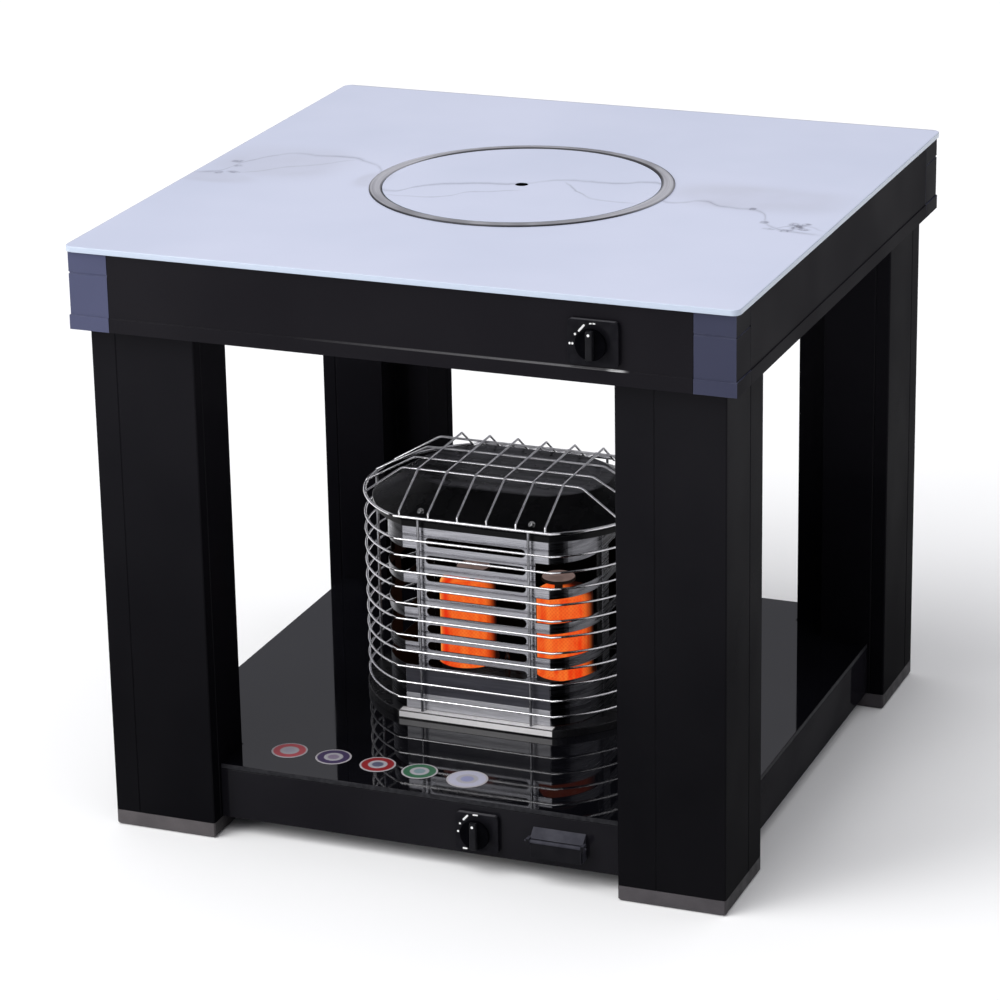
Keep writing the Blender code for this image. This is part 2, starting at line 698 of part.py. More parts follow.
# Hob under the lid
def build_hob():
    mid = SHEET_THIN / 2
    flange = PAN_MOUTH_RADIUS + PAN_FLANGE_WIDTH
    pan_hole = BURNER_NECK_RADIUS + FIT
    profile = [
        (flange, PAN_TOP - mid), (PAN_MOUTH_RADIUS, PAN_TOP - mid),
        (PAN_FLOOR_RADIUS + PAN_FLANGE_WIDTH, PAN_FLOOR + PAN_FLANGE_WIDTH),
        (PAN_FLOOR_RADIUS, PAN_FLOOR + mid), (pan_hole + mid, PAN_FLOOR + mid)]
    add_part("burner_pan", turned(profile, ROUND_LARGE, wall=SHEET_THIN), "steel", smooth=True)

    seat = PAN_FLOOR + SHEET_THIN + FIT
    head_top = seat + BURNER_FLANGE + BURNER_HEAD_HEIGHT
    burner = [
        (0, head_top), (BURNER_HEAD_RADIUS, head_top), (BURNER_HEAD_RADIUS, seat + BURNER_FLANGE),
        (BURNER_FLANGE_RADIUS, seat + BURNER_FLANGE), (BURNER_FLANGE_RADIUS, seat),
        (BURNER_NECK_RADIUS, seat), (BURNER_NECK_RADIUS, PAN_FLOOR - BURNER_NECK_DROP),
        (0, PAN_FLOOR - BURNER_NECK_DROP)]
    add_part("hob_burner", turned(burner, ROUND_MEDIUM), "cast_iron", smooth=True)
    cap_low, cap_top = head_top + FIT, head_top + FIT + BURNER_CAP_HEIGHT
    cap = [(0, cap_top), (BURNER_CAP_RADIUS - 2 * BURNER_CAP_CROWN, cap_top),
           (BURNER_CAP_RADIUS, cap_top - BURNER_CAP_CROWN), (BURNER_CAP_RADIUS, cap_low), (0, cap_low)]
    add_part("hob_burner_cap", turned(cap, ROUND_MEDIUM), "brass", smooth=True)

    inner, outer = SUPPORT_RING_RADIUS - SUPPORT_BAR / 2, SUPPORT_RING_RADIUS + SUPPORT_BAR / 2
    top, end = LID_UNDER - SUPPORT_DROP, SUPPORT_RING_RADIUS + SUPPORT_REACH
    ring = [(inner, seat + SUPPORT_BAR), (outer, seat + SUPPORT_BAR), (outer, seat), (inner, seat)]
    support = add_part("pot_support", turned(ring, ROUND_MEDIUM, closed=True), "cast_iron")
    blade = [(inner - SUPPORT_BAR, seat), (end, seat), (end, top), (SUPPORT_INNER_RADIUS, top),
             (SUPPORT_INNER_RADIUS, top - SUPPORT_TIP), (inner - SUPPORT_BAR, top - 2 * SUPPORT_TIP)]
    arms = []
    for arm in range(SUPPORT_ARMS):
        turn = Matrix.Rotation(2 * pi * (arm + 0.5) / SUPPORT_ARMS, 4, "Z")
        stand = turn @ Matrix.Rotation(pi / 2, 4, "X")
        arms.append(plate([blade], -SUPPORT_BAR / 2, SUPPORT_BAR / 2, matrix=stand))
    weld(support, joined(arms))

    add_part("under_tray", tray_mesh(), "stamped_steel")


def tray_mesh():
    """Sheet that closes the apron box from below, its four ends folded up."""
    mid = SHEET_THIN / 2
    level = APRON_BOTTOM + mid
    shape = bmesh.new()
    corners = [shape.verts.new((x, y, level)) for x, y in plus_shape(LEG_FACE - FIT - mid, LEG_INNER - FIT)]
    floor = shape.faces.new(corners)
    reach = max(v.co.x for v in corners)
    ends = [e for e in floor.edges if all(max(abs(v.co.x), abs(v.co.y)) > reach - FIT for v in e.verts)]
    made = bmesh.ops.extrude_edge_only(shape, edges=ends)["geom"]
    risen = [v for v in made if isinstance(v, bmesh.types.BMVert)]
    bmesh.ops.translate(shape, vec=(0, 0, TRAY_FLANGE - mid), verts=risen)
    return sheet_mesh(shape, offset=0)


# Gas controls
def build_control(name, place, bezel_size, panel):
    """Bezel plate, spindle, push-and-turn knob and valve on a front panel, Z outwards along the axis."""
    bezel_face = FIT + BEZEL_THICK
    half_x, half_y = bezel_size[0] / 2, bezel_size[1] / 2
    edge = rounded(rectangle(half_x, half_y), BEZEL_CORNER, COARSE_STEP_COUNT)
    hole = circle(KNOB_HUB_RADIUS + RUN, ROUND_SMALL)
    add_part(name + "_bezel", plate([edge, hole], FIT, bezel_face), "black_satin", place, FACING_FRONT)

    back = bezel_face + KNOB_GAP
    front = back + KNOB_DISC
    crown = front + KNOB_BAR_HEIGHT
    hub_end = bezel_face - KNOB_HUB_ENTRY
    bore_end = crown - KNOB_FACE
    disc = [(0, front), (KNOB_RADIUS - KNOB_CHAMFER, front), (KNOB_RADIUS, front - KNOB_CHAMFER),
            (KNOB_RADIUS, back), (KNOB_HUB_RADIUS, back), (KNOB_HUB_RADIUS, hub_end), (0, hub_end)]
    knob = add_part(name + "_knob", turned(disc, ROUND_MEDIUM), "black_plastic", place, FACING_FRONT)
    bar = rectangle(KNOB_BAR_WIDTH / 2, KNOB_RADIUS - KNOB_CHAMFER)
    grip = rounded(bar, KNOB_BAR_CORNER, COARSE_STEP_COUNT)
    weld(knob, plate([grip], front - KNOB_DISC / 2, crown), place, FACING_FRONT)
    cut(knob, rod(SPINDLE_RADIUS + FIT, hub_end - FIT, bore_end), place, FACING_FRONT)

    spindle_tip = bore_end - KNOB_GAP
    spindle = rod(SPINDLE_RADIUS, -SPINDLE_DEPTH, spindle_tip)
    add_part(name + "_spindle", spindle, "steel", place, FACING_FRONT, smooth=True)
    cut(panel, rod(SPINDLE_RADIUS + 2 * RUN, -2 * SHEET_WALL, SHEET_WALL), place, FACING_FRONT)

    nose_front = -SHEET_WALL - FIT
    body_front = nose_front - VALVE_NOSE
    body_back = body_front - VALVE_BODY[2]
    half_x, half_y = VALVE_BODY[0] / 2, VALVE_BODY[1] / 2
    body = box((-half_x, -half_y, body_back), (half_x, half_y, body_front), bevel=VALVE_EDGE)
    valve = add_part(name + "_valve", body, "brass", place, FACING_FRONT)
    nose = rod(VALVE_NOSE_RADIUS, body_front - VALVE_NOSE, nose_front, ROUND_MEDIUM)
    weld(valve, nose, place, FACING_FRONT)
    cut(valve, rod(SPINDLE_RADIUS + FIT, -SPINDLE_DEPTH - FIT, SHEET_WALL), place, FACING_FRONT)


def build_inlet(name, x, z, face, valve_back, panel):
    """Ribbed hose nipple through a back panel, brazed to the pipe that feeds the valve."""
    rib = (INLET_LENGTH - INLET_FLANGE) / INLET_RIBS
    profile = [(0, INLET_LENGTH)]
    for k in range(INLET_RIBS):
        high = INLET_LENGTH - k * rib
        profile += [(INLET_NECK_RADIUS, high), (INLET_RADIUS, high - rib)]
    feed_end = valve_back + FIT - face
    profile += [
        (INLET_FLANGE_RADIUS, INLET_FLANGE), (INLET_FLANGE_RADIUS, FIT), (INLET_RADIUS, FIT),
        (INLET_RADIUS, -INLET_TAIL), (PIPE_RADIUS, -INLET_TAIL), (PIPE_RADIUS, feed_end), (0, feed_end)]
    facing_back = (-pi / 2, 0, 0)
    place = (x, face, z)
    add_part(name, turned(profile, ROUND_SMALL), "brass", place, facing_back, smooth=True)
    cut(panel, rod(INLET_RADIUS + FIT, -2 * SHEET_WALL, SHEET_WALL), place, facing_back)


def build_pipe(name, knob_x, port_z, panel_face, joint):
    """Pipe from the side of a valve to its burner."""
    port = (knob_x - VALVE_BODY[0] / 2 - FIT, -panel_face + VALVE_PORT_DEPTH, port_z)
    path = [port, (joint[0][0], port[1], port_z)] + joint
    smooth_path = rounded(path, PIPE_BEND, COARSE_STEP_COUNT, closed=False)
    add_part(name, wire(smooth_path, PIPE_RADIUS, resolution=2), "brass", smooth=True)


def build_gas():
    side = {name: bpy.data.objects[name] for name in
            ("apron_front", "apron_back", "shelf_rail_front", "shelf_rail_back")}
    valve_length = SHEET_WALL + FIT + VALVE_NOSE + VALVE_BODY[2]

    build_control("hob", (HOB_KNOB_X, -APRON_FACE, HOB_KNOB_Z), HOB_BEZEL, side["apron_front"])
    port_z = HOB_KNOB_Z - VALVE_PORT_DROP
    build_inlet("hob_inlet", HOB_KNOB_X, port_z, APRON_FACE, valve_length - APRON_FACE, side["apron_back"])
    under = PAN_FLOOR - HOB_PIPE_DROP
    to_burner = [(0, -PAN_FLOOR_RADIUS, under), (0, -BURNER_NECK_RADIUS - FIT, under)]
    build_pipe("hob_pipe", HOB_KNOB_X, port_z, APRON_FACE, to_burner)

    knob = (HEATER_KNOB_X, -RAIL_FACE, RAIL_CONTROL_Z)
    build_control("heater", knob, HEATER_BEZEL, side["shelf_rail_front"])
    port_z = RAIL_CONTROL_Z - VALVE_PORT_DROP
    build_inlet("heater_inlet", HEATER_KNOB_X, port_z, RAIL_FACE, valve_length - RAIL_FACE,
                side["shelf_rail_back"])
    to_manifold = [(HEATER_X, HEATER_Y, port_z), (HEATER_X, HEATER_Y, BASE_TOP)]
    build_pipe("heater_pipe", HEATER_KNOB_X, port_z, RAIL_FACE, to_manifold)


# Battery box
def build_battery_box():
    rail = bpy.data.objects["shelf_rail_front"]
    place = Vector((BATTERY_BOX_X, -RAIL_FACE, RAIL_CONTROL_Z))
    across = Matrix(((0, 0, 1, 0), (1, 0, 0, 0), (0, 1, 0, 0), (0, 0, 0, 1)))
    half, tail = BOX_WIDTH / 2, BOX_TAIL_WIDTH / 2
    tail_foot, tail_head = -BOX_TAIL_HEIGHT / 2 - BOX_TAIL_DROP, BOX_TAIL_HEIGHT / 2 - BOX_TAIL_DROP
    floor, ceiling = tail_foot + BOX_WALL, tail_head - BOX_WALL
    wedge = [(-BOX_BELOW, FIT), (-BOX_BELOW, BOX_PROUD), (BOX_RIDGE, BOX_PROUD), (BOX_ABOVE, FIT)]
    front = plate([wedge], -half, half, across)
    housing = add_part("battery_box", front, "black_plastic", place, FACING_FRONT)
    tail_low = (-tail, tail_foot, -BOX_TAIL_DEPTH)
    weld(housing, box(tail_low, (tail, tail_head, BOX_PROUD / 2)), place, FACING_FRONT)

    hinge_y, hinge_z = BOX_RIDGE - FLAP_BARREL_RADIUS, BOX_PROUD + FIT + FLAP_BARREL_RADIUS
    ear_low = half - 2 * FIT
    ears = []
    for side in (-1, 1):
        x0, x1 = sorted((side * ear_low, side * (half + EAR_THICK)))
        ears.append(box((x0, hinge_y - EAR_SIZE / 2, BOX_PROUD - EAR_SIZE / 2),
                        (x1, hinge_y + EAR_SIZE / 2, hinge_z + EAR_SIZE / 2)))
    weld(housing, joined(ears), place, FACING_FRONT)
    pocket_low = (-tail + BOX_WALL, floor, BOX_WALL - BOX_TAIL_DEPTH)
    pocket = box(pocket_low, (tail - BOX_WALL, ceiling, BOX_PROUD + BOX_WALL))
    cut(housing, pocket, place, FACING_FRONT)
    turn = Matrix.Translation((0, hinge_y, hinge_z)) @ Matrix.Rotation(pi / 2, 4, "Y")
    reach = half + EAR_THICK + FLAP_PIN_REACH
    cut(housing, rod(FLAP_PIN_RADIUS + FIT, -reach, reach, matrix=turn), place, FACING_FRONT)

    open_x, open_foot, open_head = tail + BOX_CLEAR, tail_foot - BOX_CLEAR, tail_head + BOX_CLEAR
    opening = box((-open_x, open_foot, -2 * SHEET_WALL), (open_x, open_head, SHEET_WALL))
    cut(rail, opening, place, FACING_FRONT)

    hinge = place + Vector((0, -hinge_z, hinge_y))
    leaf_half = half - 4 * FIT
    leaf_back = 2 * FIT - FLAP_BARREL_RADIUS
    leaf = box((-leaf_half, -BOX_BELOW - hinge_y, leaf_back), (leaf_half, 0, leaf_back + FLAP_THICK))
    flap = add_part("battery_flap", leaf, "black_plastic", hinge, FACING_FRONT)
    lengthways = Matrix.Rotation(pi / 2, 4, "Y")
    weld(flap, rod(FLAP_BARREL_RADIUS, -leaf_half, leaf_half, matrix=lengthways), hinge, FACING_FRONT)
    weld(flap, rod(FLAP_PIN_RADIUS, -reach, reach, matrix=lengthways), hinge, FACING_FRONT)

    cell_middle = Vector((0, floor + FIT + CELL_RADIUS, BOX_WALL - BOX_TAIL_DEPTH + FIT + CELL_RADIUS))
    body = CELL_LENGTH - CELL_NUB
    cell = [(0, CELL_LENGTH), (CELL_NUB_RADIUS, CELL_LENGTH), (CELL_NUB_RADIUS, body),
            (CELL_RADIUS, body), (CELL_RADIUS, 0), (0, 0)]
    lie = Matrix.Translation(cell_middle - Vector((CELL_LENGTH / 2, 0, 0))) @ lengthways
    add_part("battery", turned(cell, ROUND_SMALL, matrix=lie), "cell_wrap", place, FACING_FRONT, smooth=True)

    unit = Vector(SPARK_UNIT)
    unit_top = RAIL_TOP - SHEET_WALL - FIT
    unit_back = -RAIL_FACE + SHEET_WALL + FIT
    add_part("spark_unit", box((-unit.x / 2, 0, -unit.z), (unit.x / 2, unit.y, 0), bevel=SHEET_WALL),
             "black_plastic", (SPARK_UNIT_X, unit_back, unit_top))


# Heater
def folded_sheet(path, low, high):
    """Upright sheet that follows a path in plan, with its wall inside the path."""
    shape = bmesh.new()
    row = [shape.verts.new((x, y, low)) for x, y in path]
    edges = [shape.edges.new(pair) for pair in zip(row, row[1:])]
    made = bmesh.ops.extrude_edge_only(shape, edges=edges)["geom"]
    risen = [v for v in made if isinstance(v, bmesh.types.BMVert)]
    bmesh.ops.translate(shape, vec=(0, 0, high - low), verts=risen)
    return sheet_mesh(shape)


def slot(length, height, low, high):
    """Round-ended slot cutter along X, cutting along Y."""
    end, straight = height / 2, (length - height) / 2
    turn = pi / FINE_STEP_COUNT
    half = [(straight + end * sin(k * turn), -end * cos(k * turn)) for k in range(FINE_STEP_COUNT + 1)]
    outline = half + [(-x, -y) for x, y in half]
    return plate([outline], low, high, matrix=Matrix.Rotation(pi / 2, 4, "X"))


def moved(mesh, vector):
    mesh.transform(Matrix.Translation(vector))
    return mesh


def window_spans():
    """Foot and head of each window, level with every second slot; the lowest ends at the plinth."""
    spans = []
    for k in range(0, SLOT_COUNT, 2):
        middle = SHELL_FOOT + SLOT_FIRST + k * SLOT_PITCH - WINDOW_DROP
        foot = max(middle - WINDOW_HEIGHT / 2, SHELL_FOOT + SHELL_PLINTH)
        spans.append((foot, middle + WINDOW_HEIGHT / 2))
    return spans


def build_heater_panels():
    corner = corner_arc(*SHELL_HALF, SHELL_FLAT, SHELL_END_FLAT)
    heater = (HEATER_X, HEATER_Y, 0)
    front_path = [(-x, y) for x, y in reversed(corner)] + corner
    slots = []
    for k in range(SLOT_COUNT):
        level = SHELL_FOOT + SLOT_FIRST + k * SLOT_PITCH
        cutter = slot(SLOT_LENGTH, SLOT_HEIGHT, -SHELL_MARGIN, SHELL_MARGIN)
        slots.append(moved(cutter, (0, -SHELL_HALF[1], level)))
    windows = []
    near, far = SHELL_FLAT - WINDOW_WRAP, SHELL_HALF[0] + SHELL_MARGIN
    front, back = -SHELL_HALF[1] - SHELL_MARGIN, -SHELL_END_FLAT - WINDOW_POST
    for foot, head in window_spans():
        windows.append(box((near, front, foot), (far, back, head)))
        windows.append(box((-far, front, foot), (-near, back, head)))
    for name, angle in (("front", 0), ("back", pi)):
        panel = add_part("heater_panel_" + name, folded_sheet(front_path, SHELL_FOOT, SHELL_TOP),
                         "stamped_steel", heater, (0, 0, angle))
        cut(panel, joined(slots), heater, (0, 0, angle))
        cut(panel, joined(windows), heater, (0, 0, angle))

    end_x, end_y = SHELL_HALF[0], SHELL_END_FLAT - FIT
    half = END_WINDOW_WIDTH / 2
    for name, angle in (("right", 0), ("left", pi)):
        path = [(end_x, -end_y), (end_x, end_y)]
        panel = add_part("heater_panel_" + name, folded_sheet(path, SHELL_FOOT, SHELL_TOP),
                         "stamped_steel", heater, (0, 0, angle))
        holes = [box((end_x - SHELL_MARGIN, -half, foot), (end_x + SHELL_MARGIN, half, head))
                 for foot, head in window_spans()]
        cut(panel, joined(holes), heater, (0, 0, angle))


def lidded_shell(loops):
    """Open-bottomed sheet cover: loops from the foot up, closed over the last."""
    shape = bmesh.new()
    rows = [[shape.verts.new((x, y, height)) for x, y in outline] for outline, height in loops]
    for lower, upper in zip(rows, rows[1:]):
        for k in range(len(lower)):
            after = (k + 1) % len(lower)
            shape.faces.new((lower[k], lower[after], upper[after], upper[k]))
    shape.faces.new(rows[-1])
    return sheet_mesh(shape)


def build_heater_covers():
    heater = (HEATER_X, HEATER_Y, 0)
    half_x, half_y = (half + BASE_MARGIN for half in GUARD_HALF)
    edge = round_ended(half_x, half_y, GUARD_FLAT)
    top_edge = round_ended(half_x - SHEET_THIN, half_y - SHEET_THIN, GUARD_FLAT)
    fold = BASE_TOP - SHEET_THIN
    base = lidded_shell([(edge, HEATER_FLOOR), (edge, fold), (top_edge, BASE_TOP)])
    part = add_part("heater_base", base, "cream_enamel", heater)
    cut(part, rod(2 * PIPE_RADIUS, HEATER_FLOOR, BASE_TOP + FIT), heater)

    foot = SHELL_TOP + FIT
    half_x, half_y = (half - SHELL_MARGIN for half in GUARD_HALF)
    eave = round_ended(half_x, half_y, ROOF_FLAT)
    plateau = round_ended(half_x - ROOF_INSET, half_y - ROOF_INSET, ROOF_TOP_FLAT)
    roof = lidded_shell([(eave, foot), (eave, foot + ROOF_SKIRT), (plateau, foot + ROOF_SKIRT + ROOF_RISE)])
    add_part("heater_roof", roof, "heat_black", heater)


def build_burners():
    half = Vector(MANIFOLD) / 2
    low = BASE_TOP + FIT
    body = box((-half.x, -half.y, low), (half.x, half.y, low + MANIFOLD[2]), bevel=SHEET_WALL)
    add_part("burner_manifold", body, "stamped_steel", (HEATER_X, HEATER_Y, 0))

    foot = MANIFOLD_TOP + FIT
    top = foot + COLUMN_HEIGHT
    column = [
        (0, top), (COLUMN_RADIUS - COLUMN_SHOULDER, top), (COLUMN_RADIUS, top - COLUMN_SHOULDER),
        (COLUMN_RADIUS, foot + COLUMN_FOOT), (COLUMN_RADIUS + COLUMN_FOOT, foot + COLUMN_FOOT),
        (COLUMN_RADIUS + COLUMN_FOOT, foot), (0, foot)]
    stem = top + FIT
    disc = stem + COLUMN_CAP_STEM
    cap = [
        (0, disc + COLUMN_CAP), (COLUMN_CAP_RADIUS - COLUMN_CAP_EDGE, disc + COLUMN_CAP),
        (COLUMN_CAP_RADIUS, disc + COLUMN_CAP - COLUMN_CAP_EDGE), (COLUMN_CAP_RADIUS, disc),
        (COLUMN_STEM_RADIUS, disc), (COLUMN_STEM_RADIUS, stem), (0, stem)]
    for name, side in (("left", -1), ("right", 1)):
        place = (HEATER_X + side * COLUMN_SPACING / 2, HEATER_Y, 0)
        add_part("burner_column_" + name, turned(column, ROUND_MEDIUM), "hot_ceramic", place, smooth=True)
        place = (HEATER_X + side * (COLUMN_SPACING / 2 - COLUMN_CAP_INSET), HEATER_Y, 0)
        add_part("burner_cap_" + name, turned(cap, ROUND_MEDIUM), "burnt_steel", place, smooth=True)

    end = low + ELECTRODE_HEIGHT
    cone = end - ELECTRODE_TIP
    electrode = [
        (0, end), (ELECTRODE_TIP_RADIUS, end), (ELECTRODE_TIP_RADIUS, cone),
        (ELECTRODE_RADIUS, cone - ELECTRODE_CONE), (ELECTRODE_RADIUS, low), (0, low)]
    place = (HEATER_X, HEATER_Y - ELECTRODE_FORWARD, 0)
    add_part("spark_electrode", turned(electrode, ROUND_SMALL), "cream_enamel", place, smooth=True)


# Wire guard: hoops welded to upright rods, a raised grille of cross and long wires on the rim
def guard_hoops():
    plan = round_ended(*GUARD_HALF, GUARD_FLAT)
    hoops = [wire([(x, y, RIM_Z) for x, y in plan], RIM_RADIUS, closed=True)]
    for k in range(HOOP_COUNT):
        level = RIM_Z - RIM_TO_HOOP - k * HOOP_PITCH
        hoops.append(wire([(x, y, level) for x, y in plan], WIRE_RADIUS, closed=True))
    return hoops


def guard_rods():
    inset = WIRE_RADIUS + ROD_RADIUS - WELD
    low, high = BASE_TOP + FIT, RIM_Z
    x, y = GUARD_HALF[0] - inset, GUARD_HALF[1] - inset
    feet = [(sx * ROD_SPACING / 2, sy * y) for sx in (-1, 1) for sy in (-1, 1)] + [(-x, 0), (x, 0)]
    return [wire([(fx, fy, low), (fx, fy, high)], ROD_RADIUS) for fx, fy in feet]


def rim_x(y):
    """Half width of the guard at a distance y from its middle line."""
    end = round_end(*GUARD_HALF, GUARD_FLAT)
    for (x0, y0), (x1, y1) in zip(end, end[1:]):
        if y0 <= y <= y1:
            return x0 + (x1 - x0) * (y - y0) / (y1 - y0)


def guard_cross_wires():
    made = []
    for k in range(CROSS_WIRES):
        y = -CROSS_FORWARD + k * CROSS_PITCH
        end = rim_x(y)
        low, high = RIM_Z + RIM_RADIUS + WIRE_RADIUS - 2 * WELD, RIM_Z + PLATEAU_RISE
        path = [(-end, y, low), (-PLATEAU_HALF, y, high), (PLATEAU_HALF, y, high), (end, y, low)]
        made.append(wire(rounded(path, CROSS_BEND, COARSE_STEP_COUNT, closed=False), WIRE_RADIUS))
    return made


def guard_long_wires():
    made = []
    lift = 2 * WIRE_RADIUS - WELD
    low = RIM_Z + RIM_RADIUS + WIRE_RADIUS - WELD
    high = RIM_Z + PLATEAU_RISE + lift
    brow = CROSS_FORWARD + lift
    for k in range(LONG_WIRES):
        x = (k - (LONG_WIRES - 1) / 2) * LONG_PITCH
        path = [(x, -GUARD_HALF[1], low), (x, -brow, high), (x, LONG_BACK, high), (x, GUARD_HALF[1], low)]
        made.append(wire(rounded(path, LONG_BEND, 1, closed=False), WIRE_RADIUS))
    return made


def build_guard():
    heater = (HEATER_X, HEATER_Y, 0)
    guard = add_part("heater_guard", joined(guard_hoops()), "chrome", heater, smooth=True)
    for wires in (guard_rods(), guard_cross_wires(), guard_long_wires()):
        weld(guard, joined(wires), heater)


build_top()
build_aprons()
build_caps()
build_legs()
build_shelf()
build_hob()
build_gas()
build_battery_box()
build_heater_panels()
build_heater_covers()
build_burners()
build_guard()
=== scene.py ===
"""Looks of the gas heating table: stone-print glass top, black gloss legs, mirror shelf and caged heater.

Metres, +Z up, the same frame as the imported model. Pieces that stand for a CAD node keep its place.
"""
from math import asin, cos, pi, radians, sin, sqrt

import bmesh
import bpy
from mathutils import Matrix, Vector


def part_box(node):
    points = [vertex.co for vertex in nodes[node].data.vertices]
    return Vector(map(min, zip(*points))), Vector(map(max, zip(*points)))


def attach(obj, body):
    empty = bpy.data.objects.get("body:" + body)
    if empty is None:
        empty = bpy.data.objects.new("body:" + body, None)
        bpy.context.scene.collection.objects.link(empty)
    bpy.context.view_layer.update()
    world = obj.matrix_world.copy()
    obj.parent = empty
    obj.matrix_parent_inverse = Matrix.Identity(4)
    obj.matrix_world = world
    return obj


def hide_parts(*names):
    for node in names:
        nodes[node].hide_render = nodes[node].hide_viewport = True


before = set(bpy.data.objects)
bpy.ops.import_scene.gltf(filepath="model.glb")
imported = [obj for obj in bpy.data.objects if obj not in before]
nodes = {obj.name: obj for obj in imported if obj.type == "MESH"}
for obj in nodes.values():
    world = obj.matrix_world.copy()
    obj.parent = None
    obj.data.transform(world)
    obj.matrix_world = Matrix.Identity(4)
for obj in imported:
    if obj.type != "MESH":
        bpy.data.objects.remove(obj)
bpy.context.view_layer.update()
scene = bpy.context.scene
scene.view_settings.view_transform = "Standard"

# Places taken over from the CAD model
HEATER = Vector((-0.0075, -0.0215, 0))
AT_HEATER = Matrix.Translation(HEATER)
SHELF_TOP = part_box("shelf_glass")[1].z
LIP_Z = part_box("apron_front")[0].z + 0.017
RIM_Z = 0.3459
GUARD_HALF, GUARD_FLAT = (0.183, 0.1385), 0.0985
SHELL_HALF, SHELL_FLAT, SHELL_END_FLAT = (0.134, 0.1295), 0.093, 0.062
SHELL_FOOT, SHELL_TOP = 0.0980, 0.3315
SLOTS = [0.1592 + 0.0221 * k for k in range(8)]
WINDOWS = [(0.1544, 0.1712), (0.1844, 0.2154), (0.2286, 0.2596), (0.2728, 0.3038)]
CONTROLS = {
    # name: axis of the knob on the face of its panel
    "hob": Vector((0.2360, -0.3962, 0.6667)),
    "heater": Vector((0.0745, -0.3590, 0.0500)),
}
FACING_FRONT = Matrix.Rotation(pi / 2, 4, "X")
CORNERS = ("front_left", "front_right", "back_right", "back_left")
SIDES = ("front", "right", "back", "left")

# Sheet of the heater's panels, the rounding of its cut edges, and the wall of the pressed covers
SHEET, CUT_EDGE, COVER_WALL = 0.0015, 0.00035, 0.0012


# Camera
def place_camera():
    """Long lens from the front right, a little above the top."""
    camera = bpy.data.objects.new("camera", bpy.data.cameras.new("camera"))
    scene.collection.objects.link(camera)
    right = Vector((0.93064971, 0.36550917, -0.01715126))
    up = Vector((-0.10883191, 0.32124758, 0.94072079))
    back = Vector((0.34935188, -0.87361493, 0.33874803))
    turn = Matrix((right, up, back)).transposed().to_4x4()
    camera.matrix_world = Matrix.Translation((1.6129, -4.1209, 1.9173)) @ turn
    camera.data.sensor_width = 36
    camera.data.lens = 139.45
    camera.data.clip_end = 60
    scene.camera = camera


# Node trees
class Net:
    """Node tree with short ways to add and join nodes. Values may be sockets or constants."""

    def __init__(self, tree):
        self.tree = tree

    def plug(self, socket, value):
        """Link to a socket, or set it to a constant; colours are given without alpha."""
        if isinstance(value, bpy.types.NodeSocket):
            self.tree.links.new(value, socket)
        else:
            socket.default_value = (*value, 1) if socket.type == "RGBA" else value

    def node(self, kind, *values, **settings):
        """New node; the values go to its sockets in order, and None leaves a socket as it is."""
        made = self.tree.nodes.new(kind)
        for label, setting in settings.items():
            setattr(made, label, setting)
        for socket, value in zip(made.inputs, values):
            if value is not None:
                self.plug(socket, value)
        return made

    def math(self, operation, *values):
        return self.node("ShaderNodeMath", *values, operation=operation).outputs[0]

    def product(self, first, *others):
        for other in others:
            first = self.math("MULTIPLY", first, other)
        return first

    def highest(self, first, *others):
        for other in others:
            first = self.math("MAXIMUM", first, other)
        return first

    def away(self, value, middle):
        """Distance of a value from a middle."""
        return self.math("ABSOLUTE", self.math("SUBTRACT", value, middle))

    def near(self, value, middle, reach):
        """One at a middle value, falling to nothing at a reach either side."""
        return self.spread(self.away(value, middle), reach, 0.0)

    def spread(self, value, low, high, to_low=0.0, to_high=1.0, kind="SMOOTHSTEP"):
        """Map Range from (low, high) to (to_low, to_high)."""
        ends = (low, high, to_low, to_high)
        return self.node("ShaderNodeMapRange", value, *ends, interpolation_type=kind).outputs[0]

    def mix(self, share, first, second):
        """Colour mix."""
        made = self.node("ShaderNodeMix", share, data_type="RGBA")
        self.plug(made.inputs[6], first)
        self.plug(made.inputs[7], second)
        return made.outputs[2]

    def vector(self, operation, first, second=None):
        made = self.node("ShaderNodeVectorMath", first, second, operation=operation)
        return made.outputs["Value" if operation in ("DOT_PRODUCT", "LENGTH") else "Vector"]

    def place(self, kind="Object"):
        return self.node("ShaderNodeTexCoord").outputs[kind]

    def split(self, vector):
        return self.node("ShaderNodeSeparateXYZ", vector).outputs

    def xyz(self):
        """The three object coordinates."""
        return self.split(self.place())

    def noise(self, vector, scale, detail):
        return self.node("ShaderNodeTexNoise", vector, None, scale, detail).outputs["Fac"]


class Group(Net):
    """Shared node group with named inputs, each with its value, and named outputs."""

    def __init__(self, name, inputs, outputs):
        super().__init__(bpy.data.node_groups.new(name, "ShaderNodeTree"))
        for label, kind, value in inputs:
            socket = self.tree.interface.new_socket(label, in_out="INPUT", socket_type="NodeSocket" + kind)
            socket.default_value = value
        for label, kind in outputs:
            self.tree.interface.new_socket(label, in_out="OUTPUT", socket_type="NodeSocket" + kind)
        self.given = self.node("NodeGroupInput").outputs
        self.end = self.node("NodeGroupOutput")

    def put_out(self, **results):
        """Joins the results to the outputs; returns the finished group."""
        for label, result in results.items():
            self.plug(self.end.inputs[label], result)
        return self.tree


# Node groups shared by the finishes
def make_grain():
    """Noise on the piece, stretched along its axes, between a low and a high value."""
    net = Group("grain", [("Stretch", "Vector", (100, 100, 100)), ("Detail", "Float", 3.0),
                          ("Low", "Float", 0.0), ("High", "Float", 1.0)], [("Value", "Float")])
    stretched = net.vector("MULTIPLY", net.place(), net.given["Stretch"])
    noise = net.noise(stretched, 1.0, net.given["Detail"])
    return net.put_out(Value=net.spread(noise, 0.3, 0.7, net.given["Low"], net.given["High"]))


